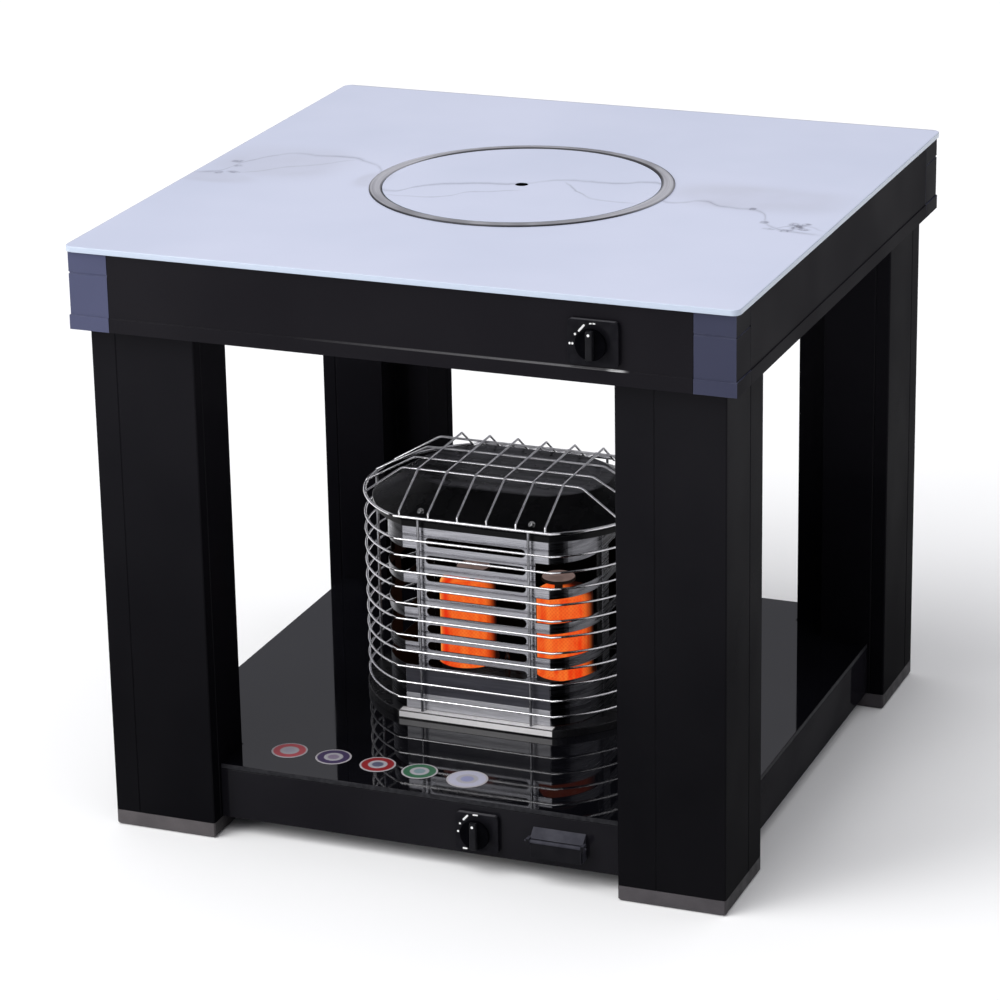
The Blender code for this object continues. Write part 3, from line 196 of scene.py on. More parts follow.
def make_round_brush():
    """Fine lines that run round the Z axis, as left by turning and polishing."""
    net = Group("round_brush", [("Fineness", "Float", 900.0), ("Low", "Float", 0.0), ("High", "Float", 1.0)],
                [("Value", "Float")])
    x, y, z = net.xyz()
    fineness = net.given["Fineness"]
    radius = net.math("SQRT", net.math("ADD", net.product(x, x), net.product(y, y)))
    course = net.node("ShaderNodeCombineXYZ", net.product(radius, fineness), net.math("ARCTAN2", y, x),
                      net.product(z, fineness))
    noise = net.noise(course.outputs[0], 1.0, 2.0)
    return net.put_out(Value=net.spread(noise, 0.3, 0.7, net.given["Low"], net.given["High"]))


def make_edge_wear_and_highlight():
    """Paler colour along edges, broken up by noise: part wear, part painted highlight where edges catch the
    light.
    """
    net = Group("edge_wear_and_highlight", [("Body", "Color", (0, 0, 0, 1)), ("Edge", "Color", (1, 1, 1, 1)),
                              ("Share", "Float", 0.5)], [("Colour", "Color")])
    edge_width = 0.0012
    rounded_normal = net.node("ShaderNodeBevel", edge_width, samples=4).outputs[0]
    normal = net.node("ShaderNodeNewGeometry").outputs["Normal"]
    # Edge mask: the paler colour here is part wear and part painted highlight
    rim = net.spread(net.vector("DOT_PRODUCT", rounded_normal, normal), 0.985, 0.80)
    patch = net.spread(net.noise(net.place(), 45.0, 4.0), 0.38, 0.62)
    amount = net.product(rim, patch, net.given["Share"])
    return net.put_out(Colour=net.mix(amount, net.given["Body"], net.given["Edge"]))


def make_plate_sides():
    """Masks of a plate's faces: front and back, turned to the side, up, and towards its middle."""
    net = Group("plate_sides", [("Middle", "Vector", (0, 0, 0))],
                [("Front", "Float"), ("Side", "Float"), ("Top", "Float"), ("Inside", "Float")])
    normal = net.node("ShaderNodeNewGeometry").outputs["True Normal"]
    x, y, z = net.split(normal)
    arm = net.vector("SUBTRACT", net.place(), net.given["Middle"])
    outwards = net.vector("MULTIPLY", arm, (1, 1, 0))
    return net.put_out(
        Front=net.spread(net.math("ABSOLUTE", y), 0.965, 0.995),
        Side=net.spread(net.math("ABSOLUTE", x), 0.64, 0.78),
        Top=net.spread(z, 0.90, 0.985),
        Inside=net.spread(net.vector("DOT_PRODUCT", outwards, normal), 0.004, -0.004))


# Courses of the printed veins over the top, in metres from its middle
MAIN_VEIN = [
    (-0.400, -0.060), (-0.375, -0.052), (-0.361, -0.005), (-0.350, 0.017), (-0.337, 0.037), (-0.313, 0.055),
    (-0.279, 0.053), (-0.244, 0.058), (-0.221, 0.047), (-0.195, 0.027), (-0.160, -0.055), (-0.136, -0.076),
    (-0.117, -0.049), (-0.077, -0.021), (-0.042, -0.010), (0.0, 0.003), (0.020, 0.018), (0.043, 0.033),
    (0.064, 0.035), (0.103, 0.037), (0.148, 0.055), (0.170, 0.020), (0.190, -0.018), (0.206, -0.012),
    (0.226, 0.0), (0.251, -0.015), (0.272, -0.017), (0.291, -0.016), (0.321, -0.062), (0.339, -0.084),
    (0.354, -0.091), (0.374, -0.094), (0.400, -0.095)]
SIDE_VEINS = [
    # course, strength
    ([(0.040, 0.027), (0.050, 0.018), (0.081, -0.017), (0.104, -0.035), (0.1385, -0.039),
      (0.160, -0.037)], 0.34),
    ([(-0.140, -0.092), (-0.092, -0.088), (-0.062, -0.073), (-0.050, -0.054), (-0.019, -0.039),
      (0.012, -0.027)], 0.26),
    ([(-0.350, -0.049), (-0.300, -0.006), (-0.276, 0.007), (-0.244, 0.039), (-0.230, 0.047)], 0.24),
    ([(0.330, -0.088), (0.352, -0.072), (0.372, -0.066), (0.393, -0.079), (0.400, -0.082)], 0.42),
]
KNOTS = [
    # middle, reach, strength
    ((0.3626, -0.0739), (0.012, 0.016), 0.80), ((0.3560, -0.0640), (0.010, 0.012), 0.62),
    ((0.3690, -0.0610), (0.009, 0.010), 0.60), ((0.3720, -0.0800), (0.012, 0.008), 0.60),
    ((0.3549, -0.0908), (0.012, 0.010), 0.70), ((0.3335, -0.0894), (0.012, 0.006), 0.45),
    ((0.3207, -0.0646), (0.008, 0.009), 0.55), ((0.2907, -0.0155), (0.007, 0.009), 0.60),
    ((-0.3695, -0.0544), (0.009, 0.010), 0.42), ((-0.3529, -0.0485), (0.014, 0.008), 0.45),
    ((-0.3691, -0.0010), (0.011, 0.010), 0.45), ((-0.3593, -0.0202), (0.009, 0.008), 0.38),
]
CLOUDS = [
    # middle, reach
    ((-0.315, 0.010), (0.120, 0.110)), ((-0.365, -0.075), (0.080, 0.035)),
    ((0.285, 0.030), (0.160, 0.080)), ((-0.178, -0.030), (0.030, 0.050)),
]


def make_stone_veins():
    """Veins along their courses, dark knots near both ends, and the cloudy stone beside them."""
    net = Group("stone_veins", [], [("Veins", "Float"), ("Cloud", "Float")])
    place = net.place()
    x, y, _ = net.split(place)
    # The curves run from 0 to 1 in both directions: units per metre across the top and over its depth
    across, deep = 1.25, 4.0
    along = net.math("MULTIPLY_ADD", x, across, 0.5)
    shiver = net.math("MULTIPLY_ADD", net.noise(place, 32.0, 4.0), 0.012, -0.006)

    def patch(middle, reach):
        return net.product(net.near(x, middle[0], reach[0]), net.near(y, middle[1], reach[1]))

    def line(course, width):
        """Mask of a soft line along a course, faded in and out at its ends."""
        node = net.node("ShaderNodeFloatCurve", None, along)
        curve = node.mapping.curves[0]
        stops = [(px * across + 0.5, py * deep + 0.5) for px, py in course]
        curve.points[0].location = (0.0, stops[0][1])
        curve.points[1].location = (1.0, stops[-1][1])
        for stop in stops:
            if 0.002 < stop[0] < 0.998:
                curve.points.new(*stop)
        node.mapping.update()
        level = net.math("MULTIPLY_ADD", node.outputs[0], 1 / deep, -0.5 / deep)
        off = net.math("ADD", net.math("SUBTRACT", y, level), shiver)
        mask = net.spread(net.math("ABSOLUTE", off), width, 0.0)
        first, last = course[0][0], course[-1][0]
        return net.product(mask, net.spread(x, first - 0.003, first + 0.018),
                           net.spread(x, last + 0.003, last - 0.018))

    patchy = net.spread(net.noise(place, 11.0, 3.0), 0.30, 0.62, 0.35, 1.0)
    lines = [(MAIN_VEIN, 0.0085, 0.24), (MAIN_VEIN, 0.0030, 0.46)]
    lines += [(course, 0.0040, strength) for course, strength in SIDE_VEINS]
    veins = [net.product(line(course, width), patchy, strength) for course, width, strength in lines]
    flecks = net.spread(net.noise(place, 190.0, 3.0), 0.36, 0.62, 0.30, 1.0)
    for middle, reach, strength in KNOTS:
        veins.append(net.product(net.spread(patch(middle, reach), 0.02, 0.60), flecks, strength))
    drift = net.spread(net.highest(*(patch(*cloud) for cloud in CLOUDS)), 0.0, 0.55)
    billow = net.spread(net.noise(place, 11.0, 4.0), 0.28, 0.68, 0.45, 1.0)
    return net.put_out(Veins=net.highest(*veins), Cloud=net.product(drift, billow))


GRAIN = make_grain()
ROUND_BRUSH = make_round_brush()
EDGE_WEAR_AND_HIGHLIGHT = make_edge_wear_and_highlight()
PLATE_SIDES = make_plate_sides()
STONE_VEINS = make_stone_veins()


# Finishes, each under its name
LOOKS = {}


class Finish(Net):
    """Principled material with short ways to place the shared groups in it."""

    def __init__(self, name, colour, roughness, metallic=0.0, specular=0.5, coat=0.0, coat_roughness=0.05):
        LOOKS[name] = bpy.data.materials.new(name)
        LOOKS[name].use_nodes = True
        super().__init__(LOOKS[name].node_tree)
        self.shader = self.tree.nodes["Principled BSDF"]
        for label, value in (("Base Color", colour), ("Roughness", roughness), ("Metallic", metallic),
                             ("Specular IOR Level", specular), ("Coat Weight", coat),
                             ("Coat Roughness", coat_roughness)):
            self.feed(label, value)

    def feed(self, label, value):
        self.plug(self.shader.inputs[label], value)

    def group(self, group, **values):
        """Places a shared group; returns its outputs."""
        made = self.node("ShaderNodeGroup", node_tree=group)
        for label, value in values.items():
            self.plug(made.inputs[label], value)
        return made.outputs

    def grain(self, stretch, low, high, detail=3.0):
        """Noise value, as fine as its stretch is large, evenly or along each axis."""
        size = (stretch,) * 3 if isinstance(stretch, (int, float)) else stretch
        return self.group(GRAIN, Stretch=size, Detail=detail, Low=low, High=high)["Value"]

    def brushed(self, fineness, low, high):
        """Value in fine lines round the Z axis."""
        return self.group(ROUND_BRUSH, Fineness=fineness, Low=low, High=high)["Value"]

    def tones(self, stretch, dark, light):
        """Colour that drifts between two tones over the surface."""
        return self.mix(self.grain(stretch, 0.0, 1.0), dark, light)

    def relief(self, height, depth, strength):
        """Bump from a height socket, its depth in metres."""
        bump = self.node("ShaderNodeBump", strength, depth, None, height)
        self.feed("Normal", bump.outputs["Normal"])

    def surface(self, body, edge=None, rough=None, coat_grain=None, relief=None):
        """Feeds the shader a body colour.

        It may get paler edges, part wear and part painted highlight (colour, share), an uneven roughness or
        coat (grain, low, high), and a fine relief (grain, detail, depth, strength).
        """
        if edge:
            body = self.group(EDGE_WEAR_AND_HIGHLIGHT, Body=body, Edge=edge[0], Share=edge[1])["Colour"]
        self.feed("Base Color", body)
        if rough:
            self.feed("Roughness", self.grain(*rough))
        if coat_grain:
            self.feed("Coat Weight", self.grain(*coat_grain, 2.0))
        if relief:
            stretch, detail, depth, strength = relief
            self.relief(self.grain(stretch, 0.0, 1.0, detail), depth, strength)


def stone_glass():
    """White tempered glass printed from behind with faint grey veins, with painted shade where its far edges
    round off.
    """
    made = Finish("stone_print_glass", (0.60, 0.64, 0.80), 0.10, specular=0.35)
    veins = made.group(STONE_VEINS)
    ground = made.tones(3.0, (0.575, 0.615, 0.760), (0.625, 0.660, 0.805))
    cloudy = made.mix(made.product(veins["Cloud"], 0.46), ground, (0.470, 0.478, 0.565))
    face = made.mix(veins["Veins"], cloudy, (0.095, 0.098, 0.130))
    glass = made.mix(made.group(PLATE_SIDES)["Top"], (0.470, 0.535, 0.640), face)
    x, y, z = made.xyz()
    # Painted shade along the far (back and left) edges of the top where they round off
    far_edges = made.highest(made.spread(y, 0.3966, 0.3984), made.spread(x, -0.3984, -0.3994))
    painted_edge_shade = made.product(far_edges, made.spread(z, 0.7166, 0.7172), 0.80)
    made.surface(made.mix(painted_edge_shade, glass, (0.12, 0.115, 0.12)), rough=(14, 0.07, 0.16))


def black_lacquer():
    """Black gloss lacquer on board, with the slight waviness of a sprayed face, and painted light that makes
    it lighter towards the top.
    """
    made = Finish("black_lacquer", (0.0055, 0.0052, 0.0068), 0.40, specular=0.0, coat=0.10,
                  coat_roughness=0.04)
    # Painted light: lighter towards the top of the legs, darker low down
    low = made.tones(6.0, (0.0022, 0.0021, 0.0030), (0.0032, 0.0030, 0.0040))
    high = made.tones(6.0, (0.0068, 0.0065, 0.0082), (0.0082, 0.0078, 0.0096))
    body = made.mix(made.spread(made.xyz()["Z"], 0.10, 0.60), low, high)
    gloss = made.spread(made.group(PLATE_SIDES)["Inside"], 0.0, 1.0, 1.0, 0.12)
    made.feed("Coat Weight", made.product(made.grain((7, 7, 4), 0.050, 0.085, 2.0), gloss))
    made.surface(body, edge=((0.05, 0.05, 0.056), 0.35), relief=(22, 2.0, 0.00012, 0.25))


def apron_sheet():
    """Satin black apron with a painted highlight line where its lip folds out, strongest towards the right,
    and a painted glint near its right end.
    """
    made = Finish("apron_sheet", (0.0095, 0.0088, 0.0112), 0.45, specular=0.0, coat=0.09, coat_roughness=0.25)
    body = made.tones(4.0, (0.0076, 0.0069, 0.0090), (0.0094, 0.0087, 0.0110))
    x, _, z = made.xyz()
    outside = made.math("SUBTRACT", 1.0, made.group(PLATE_SIDES)["Inside"])
    ends = made.product(outside, made.spread(x, 0.277, 0.270))
    # Painted highlight: a bright line along the fold of the lip, rising towards the right, with a painted
    # glint near x = 0.26
    fold_highlight_mask = made.product(made.spread(made.away(z, LIP_Z), 0.0015, 0.0005), ends)
    rise = made.spread(x, -0.12, 0.20, 0.0, 0.75, "LINEAR")
    line = made.mix(made.product(fold_highlight_mask, rise), body, (0.150, 0.148, 0.152))
    painted_glint = made.product(fold_highlight_mask, made.spread(made.away(x, 0.260), 0.013, 0.004), 0.85)
    highlighted = made.mix(painted_glint, line, (0.75, 0.75, 0.75))
    made.surface(highlighted, edge=((0.06, 0.06, 0.067), 0.3), coat_grain=(5, 0.06, 0.10),
                 relief=(900, 2.0, 0.00006, 0.3))


def corner_film():
    """Moulded corner: blue-grey film on its front and back, painted lighter on the left and darker to the
    right as painted light, black plastic on its sides.
    """
    made = Finish("corner_blue_grey", (0.075, 0.080, 0.138), 0.40, specular=0.0, coat=0.10,
                  coat_roughness=0.10)
    # Painted light: the film is lighter at the left end of the table and darker at the right
    painted_light_across = made.spread(made.xyz()["X"], -0.40, 0.40)
    film = made.mix(painted_light_across, (0.072, 0.078, 0.136), (0.039, 0.042, 0.072))
    mottled = made.mix(made.grain((9, 9, 5), 0.0, 0.25, 2.0), film, (0.050, 0.053, 0.090))
    body = made.mix(made.group(PLATE_SIDES)["Side"], mottled, (0.0090, 0.0086, 0.0108))
    made.surface(body, edge=((0.16, 0.17, 0.23), 0.5), coat_grain=(6, 0.05, 0.10),
                 relief=(420, 2.0, 0.00005, 0.25))


def foot_plastic():
    """Grey moulded plastic with a spark-eroded grain, painted lighter on the left and darker to the right,
    with painted shade on its side faces.
    """
    made = Finish("foot_plastic", (0.085, 0.078, 0.082), 0.52, specular=0.20)
    lit_tone = made.tones(30, (0.064, 0.058, 0.061), (0.084, 0.076, 0.079))
    shaded_tone = made.tones(30, (0.048, 0.044, 0.048), (0.067, 0.061, 0.066))
    # Painted light across the table from left to right, and painted shade on the side faces
    body = made.mix(made.spread(made.xyz()["X"], -0.34, 0.34), lit_tone, shaded_tone)
    painted_side_shade = made.product(made.group(PLATE_SIDES)["Side"], 0.7)
    made.surface(made.mix(painted_side_shade, body, (0.012, 0.011, 0.012)), edge=((0.15, 0.14, 0.145), 0.4),
                 rough=(60, 0.44, 0.62), relief=(700, 2.0, 0.00012, 0.4))


def turned_steel():
    """Polished steel with fine lines from turning."""
    made = Finish("turned_steel", (0.62, 0.61, 0.63), 0.30, metallic=1.0)
    lines = made.brushed(1400.0, 0.0, 1.0)
    made.feed("Roughness", made.brushed(700.0, 0.24, 0.42))
    made.relief(lines, 0.00003, 0.35)
    made.surface(made.mix(lines, (0.54, 0.535, 0.555), (0.70, 0.695, 0.71)))


def ring_steel():
    """Satin steel ring, with painted shade at the front and back, and painted shade where it turns down at its
    two edges.
    """
    made = Finish("ring_steel", (0.72, 0.71, 0.74), 0.45, metallic=1.0)
    place = made.place()
    radius = made.vector("LENGTH", made.vector("MULTIPLY", place, (1, 1, 0)))
    turned = made.math("DIVIDE", made.split(place)["Y"], radius)
    front = made.spread(turned, -0.40, -0.95)
    back = made.spread(turned, 0.30, 0.80)
    inner = made.spread(radius, made.math("MULTIPLY_ADD", back, 0.0034, 0.1682),
                        made.math("MULTIPLY_ADD", back, 0.0022, 0.1664))
    # Painted shade along both edges of the ring, deeper at the front and back
    edges = made.highest(made.spread(radius, 0.1778, 0.1800), inner)
    lines = made.brushed(1400.0, 0.0, 1.0)
    steel = made.mix(lines, (0.71, 0.71, 0.755), (0.87, 0.87, 0.915))
    painted_shade_front_back = made.math("MULTIPLY_ADD", front, 0.50, made.product(back, 0.40))
    shaded = made.mix(made.product(painted_shade_front_back, made.grain(22, 0.55, 1.25, 2.0)), steel, (0.17, 0.17, 0.185))
    depth = made.spread(made.math("ABSOLUTE", turned), 0.10, 0.60, 0.35, 0.92)
    made.feed("Roughness", made.brushed(700.0, 0.34, 0.54))
    made.relief(lines, 0.00003, 0.35)
    made.surface(made.mix(made.product(edges, depth), shaded, (0.02, 0.02, 0.024)))


def chrome_wire():
    """Bright plating on drawn wire, with a painted highlight on the raised wires towards the back, where the
    metal is made partly diffuse and shows paler.
    """
    made = Finish("chrome_wire", (0.88, 0.87, 0.89), 0.10, metallic=1.0)
    _, y, z = made.xyz()
    # Painted highlight: the raised wires towards the back lose metallic so their pale colour shows
    raised = made.spread(z, RIM_Z + 0.016, RIM_Z + 0.034)
    rear = made.spread(y, HEATER.y - 0.070, HEATER.y + 0.055)
    made.feed("Metallic", made.spread(made.product(raised, rear), 0.0, 1.0, 1.0, 0.25))
    made.surface(made.tones(60, (0.74, 0.73, 0.75), (0.94, 0.935, 0.95)), rough=(90, 0.10, 0.26))


def pressed_steel():
    """Bright pressed sheet brushed lengthways, with painted shade on the bent corners, and soot on its inner
    side darkened further as painted shade.
    """
    made = Finish("pressed_steel", (0.55, 0.55, 0.58), 0.28, metallic=1.0)
    sides = made.group(PLATE_SIDES, Middle=HEATER)
    brush = made.grain((25, 25, 900), 0.0, 1.0, 2.0)
    bright = made.mix(brush, (0.29, 0.29, 0.315), (0.395, 0.395, 0.425))
    # Painted shade on the bent corners
    painted_shade_corners = made.mix(sides["Side"], (0.020, 0.020, 0.023), (0.20, 0.20, 0.215))
    streaked = made.mix(made.grain((30, 30, 300), 0.0, 0.35, 2.0), painted_shade_corners, (0.05, 0.05, 0.055))
    outside = made.mix(sides["Front"], streaked, bright)
    # Soot on the inner side, made darker as painted shade against the light of the glowing columns
    soot_and_shade = made.tones(45, (0.0020, 0.0019, 0.0020), (0.0060, 0.0054, 0.0052))
    made.feed("Metallic", made.spread(sides["Inside"], 0.0, 1.0, 1.0, 0.0))
    sooted = made.product(sides["Inside"], 0.8)
    made.feed("Roughness", made.highest(made.grain((12, 12, 500), 0.20, 0.36), sooted))
    made.relief(brush, 0.00003, 0.3)
    made.surface(made.mix(sides["Inside"], outside, soot_and_shade))


def heat_black():
    """Heat-proof black paint, painted lighter on the flat top as painted light, darker on the slopes as
    painted shade.
    """
    made = Finish("heat_black", (0.004, 0.004, 0.0046), 0.26, specular=0.09)
    shaded_slope = made.tones(14, (0.0030, 0.0030, 0.0036), (0.0056, 0.0055, 0.0062))
    # Painted light: the flat top is lighter where light falls on it
    flat = made.tones((8, 60, 8), (0.020, 0.020, 0.022), (0.095, 0.094, 0.104))
    body = made.mix(made.group(PLATE_SIDES, Middle=HEATER)["Top"], shaded_slope, flat)
    made.surface(body, edge=((0.10, 0.10, 0.105), 0.5), rough=(30, 0.22, 0.30),
                 relief=(300, 2.0, 0.00008, 0.3))


def cream_enamel():
    """Base tray: cream enamel on the front and back and over the ledge, black elsewhere, with a black band
    along the foot as a painted shadow gap under the tray.
    """
    made = Finish("cream_enamel", (0.80, 0.77, 0.78), 0.26, specular=0.4)
    sides = made.group(PLATE_SIDES, Middle=HEATER)
    cream = made.tones(18, (0.88, 0.86, 0.865), (0.93, 0.915, 0.92))
    black = made.tones(18, (0.006, 0.006, 0.007), (0.011, 0.0105, 0.0115))
    x, y, z = made.xyz()
    ledge = made.product(sides["Top"], made.spread(made.away(x, HEATER.x), GUARD_FLAT, GUARD_FLAT - 0.001),
                         made.spread(made.away(y, HEATER.y), SHELL_HALF[1] - 0.001, SHELL_HALF[1]))
    # Painted shadow gap: the lowest part of the tray stays black
    above_painted_gap = made.spread(z, SHELF_TOP + 0.0014, SHELF_TOP + 0.0020)
    coated = made.product(made.highest(sides["Front"], ledge), above_painted_gap)
    made.surface(made.mix(coated, black, cream), rough=(45, 0.20, 0.34))


def bezel_plastic():
    """Satin black dial plate with a painted highlight on its top face."""
    made = Finish("bezel_plastic", (0.0080, 0.0078, 0.0098), 0.42, specular=0.0, coat=0.07, coat_roughness=0.2)
    front = made.tones(60, (0.0066, 0.0064, 0.0082), (0.0086, 0.0084, 0.0106))
    # Painted highlight on the top face of the plate
    body = made.mix(made.group(PLATE_SIDES)["Top"], front, (0.068, 0.067, 0.073))
    made.surface(body, edge=((0.06, 0.06, 0.067), 0.3), coat_grain=(120, 0.04, 0.08),
                 relief=(1500, 2.0, 0.00005, 0.3))


def box_plastic():
    """Satin plastic of the battery box, painted lighter on top as painted light, darker on its front."""
    made = Finish("box_plastic", (0.010, 0.010, 0.0125), 0.40, specular=0.0, coat=0.10, coat_roughness=0.2)
    front = made.tones(60, (0.0060, 0.0059, 0.0074), (0.0080, 0.0079, 0.0096))
    # Painted light on the top and side faces, darker front
    upper = made.tones(60, (0.030, 0.030, 0.039), (0.046, 0.046, 0.057))
    body = made.mix(made.group(PLATE_SIDES)["Front"], upper, front)
    made.surface(body, edge=((0.05, 0.05, 0.056), 0.25), coat_grain=(40, 0.06, 0.11))


def burnt_steel():
    """Disc over a burner, browned by the flame, with a faint painted glow on its top to lighten it."""
    made = Finish("burnt_steel", (0.42, 0.31, 0.28), 0.55, metallic=0.1, specular=0.3)
    upper = made.group(PLATE_SIDES)["Top"]
    brown = made.tones(65, (0.36, 0.255, 0.23), (0.50, 0.375, 0.34))
    warm = made.tones(65, (0.085, 0.058, 0.052), (0.125, 0.088, 0.080))
    # Painted glow: faint emission on the top face stands in for light falling on it
    made.feed("Emission Color", made.mix(upper, (0.004, 0.002, 0.001), warm))
    made.feed("Emission Strength", 1.3)
    made.surface(made.mix(upper, (0.012, 0.010, 0.010), brown), rough=(150, 0.42, 0.62),
                 relief=(400, 3.0, 0.0001, 0.4))


def glowing_ceramic(name, centre, streak):
    """Pierced ceramic that glows orange: a hot left side, streaks up its height, painted shade towards its
    back, and its glow dimmed where seen in reflections.
    """
    made = Finish(name, (0.030, 0.012, 0.008), 0.85, specular=0.1)
    x, y, z = made.split(made.node("ShaderNodeMapping", made.place(), (-centre.x, -centre.y, 0)).outputs[0])
    columns = made.math("SINE", made.product(made.math("ARCTAN2", y, x), 46.0))
    rows = made.math("SINE", made.product(z, 1250.0))
    holes = made.spread(made.product(columns, rows), -0.3, 0.6)
    heat = made.mix(made.grain((90, 90, 5), 0.0, 1.0, 2.0), (0.84, 0.040, 0.005), (0.98, 0.190, 0.025))
    warm = made.mix(made.product(made.grain(60, 0.0, 1.0), 0.45), heat, (1.0, 0.235, 0.040))
    hot_side = made.product(made.spread(x, -0.0235, -0.0300), streak)
    red_band = made.product(made.near(x, -0.0180, 0.0075), streak)
    lit = made.mix(hot_side, warm, (1.0, 0.400, 0.090))
    banded = made.mix(red_band, lit, (0.80, 0.028, 0.006))
    glow = made.mix(made.product(holes, 0.30), banded, (0.60, 0.035, 0.006))
    # Painted shade: the glow darkens towards the back of the column
    painted_back_shade = made.spread(made.math("MULTIPLY_ADD", x, 0.55, y), 0.024, -0.006)
    dark = (0.012, 0.003, 0.002)
    mirrored = made.product(made.node("ShaderNodeLightPath").outputs["Is Glossy Ray"], 0.85)
    made.feed("Emission Color", made.mix(mirrored, made.mix(painted_back_shade, dark, glow), dark))
    made.feed("Emission Strength", 0.95)
    made.relief(holes, 0.0004, 0.4)


def sticker_print(name, centre, radius, field, middle):
    """Plain round sticker: pale rim, coloured field, pale ring and a coloured middle."""
    made = Finish(name, field, 0.34, specular=0.10)
    shift = (-centre[0] / radius, -centre[1] / radius, -SHELF_TOP / radius)
    place = made.node("ShaderNodeMapping", made.place(), shift, None, (1 / radius,) * 3).outputs[0]
    rings = made.node("ShaderNodeValToRGB", made.vector("LENGTH", place))
    ramp = rings.color_ramp
    rim, ring = (0.40, 0.38, 0.40), (0.36, 0.35, 0.38)
    ramp.elements[0].color = (*middle, 1)
    ramp.elements[1].color = (*rim, 1)
    stops = ((0.28, middle), (0.36, ring), (0.50, ring), (0.56, field), (0.88, field), (0.92, rim))
    for position, colour in stops:
        ramp.elements.new(position).color = (*colour, 1)
    dusty = made.grain(500, 0.0, 0.10)
    made.surface(made.mix(dusty, rings.outputs["Color"], (0.20, 0.19, 0.20)))


def plain(name, colour, roughness, tones, edge=None, rough=None, coat_grain=None, relief=None, **kind):
    """Finish of two tones (grain, dark, light) with no pattern of its own."""
    made = Finish(name, colour, roughness, **kind)
    made.surface(made.tones(*tones), edge, rough, coat_grain, relief)


for make_finish in (
        stone_glass, black_lacquer, apron_sheet, corner_film, foot_plastic, turned_steel, ring_steel,
        chrome_wire, pressed_steel, heat_black, cream_enamel, bezel_plastic, box_plastic, burnt_steel):
    make_finish()

# Gloss black stoved paint on folded sheet
plain("black_gloss_sheet", (0.0072, 0.0068, 0.0088), 0.40,
      (5.0, (0.0062, 0.0058, 0.0076), (0.0084, 0.0080, 0.0102)), edge=((0.07, 0.07, 0.078), 0.45),
      coat_grain=((6, 6, 12), 0.085, 0.14), relief=(260, 2.0, 0.00005, 0.2),
      specular=0.0, coat=0.12, coat_roughness=0.05)
# Satin black powder paint on folded sheet
plain("black_satin_sheet", (0.0095, 0.0088, 0.0112), 0.45,
      (4.0, (0.0066, 0.0060, 0.0080), (0.0086, 0.0080, 0.0104)), edge=((0.10, 0.10, 0.112), 0.6),
      coat_grain=(5, 0.09, 0.14), relief=(900, 2.0, 0.00006, 0.3),
      specular=0.0, coat=0.12, coat_roughness=0.22)
# Black glass shelf with a mirror gloss and a little dust
plain("black_mirror_glass", (0.0030, 0.0030, 0.0042), 0.025,
      (8.0, (0.0022, 0.0022, 0.0034), (0.0040, 0.0040, 0.0054)), rough=(9, 0.012, 0.050), specular=0.62)
# Ground edge of the black glass
plain("ground_glass_edge", (0.012, 0.012, 0.014), 0.55,
      (200, (0.010, 0.010, 0.012), (0.022, 0.022, 0.025)), specular=0.08)
# Plating painted darker on the upright rods, as painted shade behind the hoops
plain("painted_shade_wire", (0.30, 0.30, 0.32), 0.30, (60, (0.20, 0.20, 0.215), (0.36, 0.36, 0.38)),
      rough=(90, 0.22, 0.40), metallic=1.0)
# Pale satin strip under the plate
plain("foot_strip", (0.46, 0.46, 0.49), 0.38, ((25, 25, 900), (0.40, 0.40, 0.43), (0.56, 0.56, 0.59)),
      edge=((0.75, 0.75, 0.78), 0.5), rough=((20, 20, 400), 0.28, 0.46), metallic=0.2)
# Plain dark plate across the foot of the heater
plain("trim_plate", (0.050, 0.050, 0.062), 0.40,
      ((20, 20, 300), (0.042, 0.042, 0.053), (0.060, 0.060, 0.074)), edge=((0.30, 0.30, 0.33), 0.7),
      rough=(80, 0.34, 0.48), specular=0.25)
# Dull plated steel of the hidden sheet
plain("plain_steel", (0.42, 0.42, 0.44), 0.36, (25, (0.36, 0.36, 0.38), (0.48, 0.48, 0.50)),
      rough=(80, 0.28, 0.46), metallic=1.0)
# Blacked screw with a little steel showing through
plain("dark_screw", (0.05, 0.05, 0.052), 0.35, (600, (0.02, 0.02, 0.021), (0.16, 0.16, 0.165)),
      rough=(300, 0.26, 0.46), metallic=1.0)
# Deep black moulding of the knobs
plain("black_plastic", (0.0012, 0.0012, 0.0018), 0.38,
      (40, (0.0009, 0.0009, 0.0014), (0.0016, 0.0016, 0.0023)), edge=((0.06, 0.06, 0.067), 0.3),
      coat_grain=(120, 0.008, 0.020), relief=(1500, 2.0, 0.00005, 0.3),
      specular=0.0, coat=0.015, coat_roughness=0.2)
# Greyer plastic of the grip bar
plain("grip_plastic", (0.0080, 0.0080, 0.0098), 0.36,
      (90, (0.0066, 0.0066, 0.0080), (0.0100, 0.0100, 0.0118)), edge=((0.06, 0.06, 0.067), 0.35),
      rough=(150, 0.28, 0.46), specular=0.06)
# Matt enamelled iron with a sandy skin
plain("cast_iron", (0.020, 0.0195, 0.020), 0.62, (70, (0.015, 0.0148, 0.015), (0.030, 0.029, 0.029)),
      edge=((0.10, 0.095, 0.09), 0.5), rough=(200, 0.52, 0.74), relief=(450, 4.0, 0.0003, 0.5),
      metallic=0.3)
# Turned brass, dulled in patches
plain("brass", (0.62, 0.44, 0.18), 0.28, (55, (0.46, 0.31, 0.12), (0.70, 0.51, 0.23)),
      rough=(130, 0.20, 0.42), metallic=1.0)
# Glazed insulator of the spark electrode, sooted by the flame
plain("white_ceramic", (0.06, 0.056, 0.052), 0.30, (120, (0.020, 0.018, 0.017), (0.080, 0.074, 0.066)),
      rough=(200, 0.14, 0.26))
# Plain green wrap of the dry cell
plain("cell_wrap", (0.06, 0.13, 0.085), 0.30, (150, (0.05, 0.115, 0.075), (0.075, 0.15, 0.10)),
      rough=(220, 0.24, 0.38))
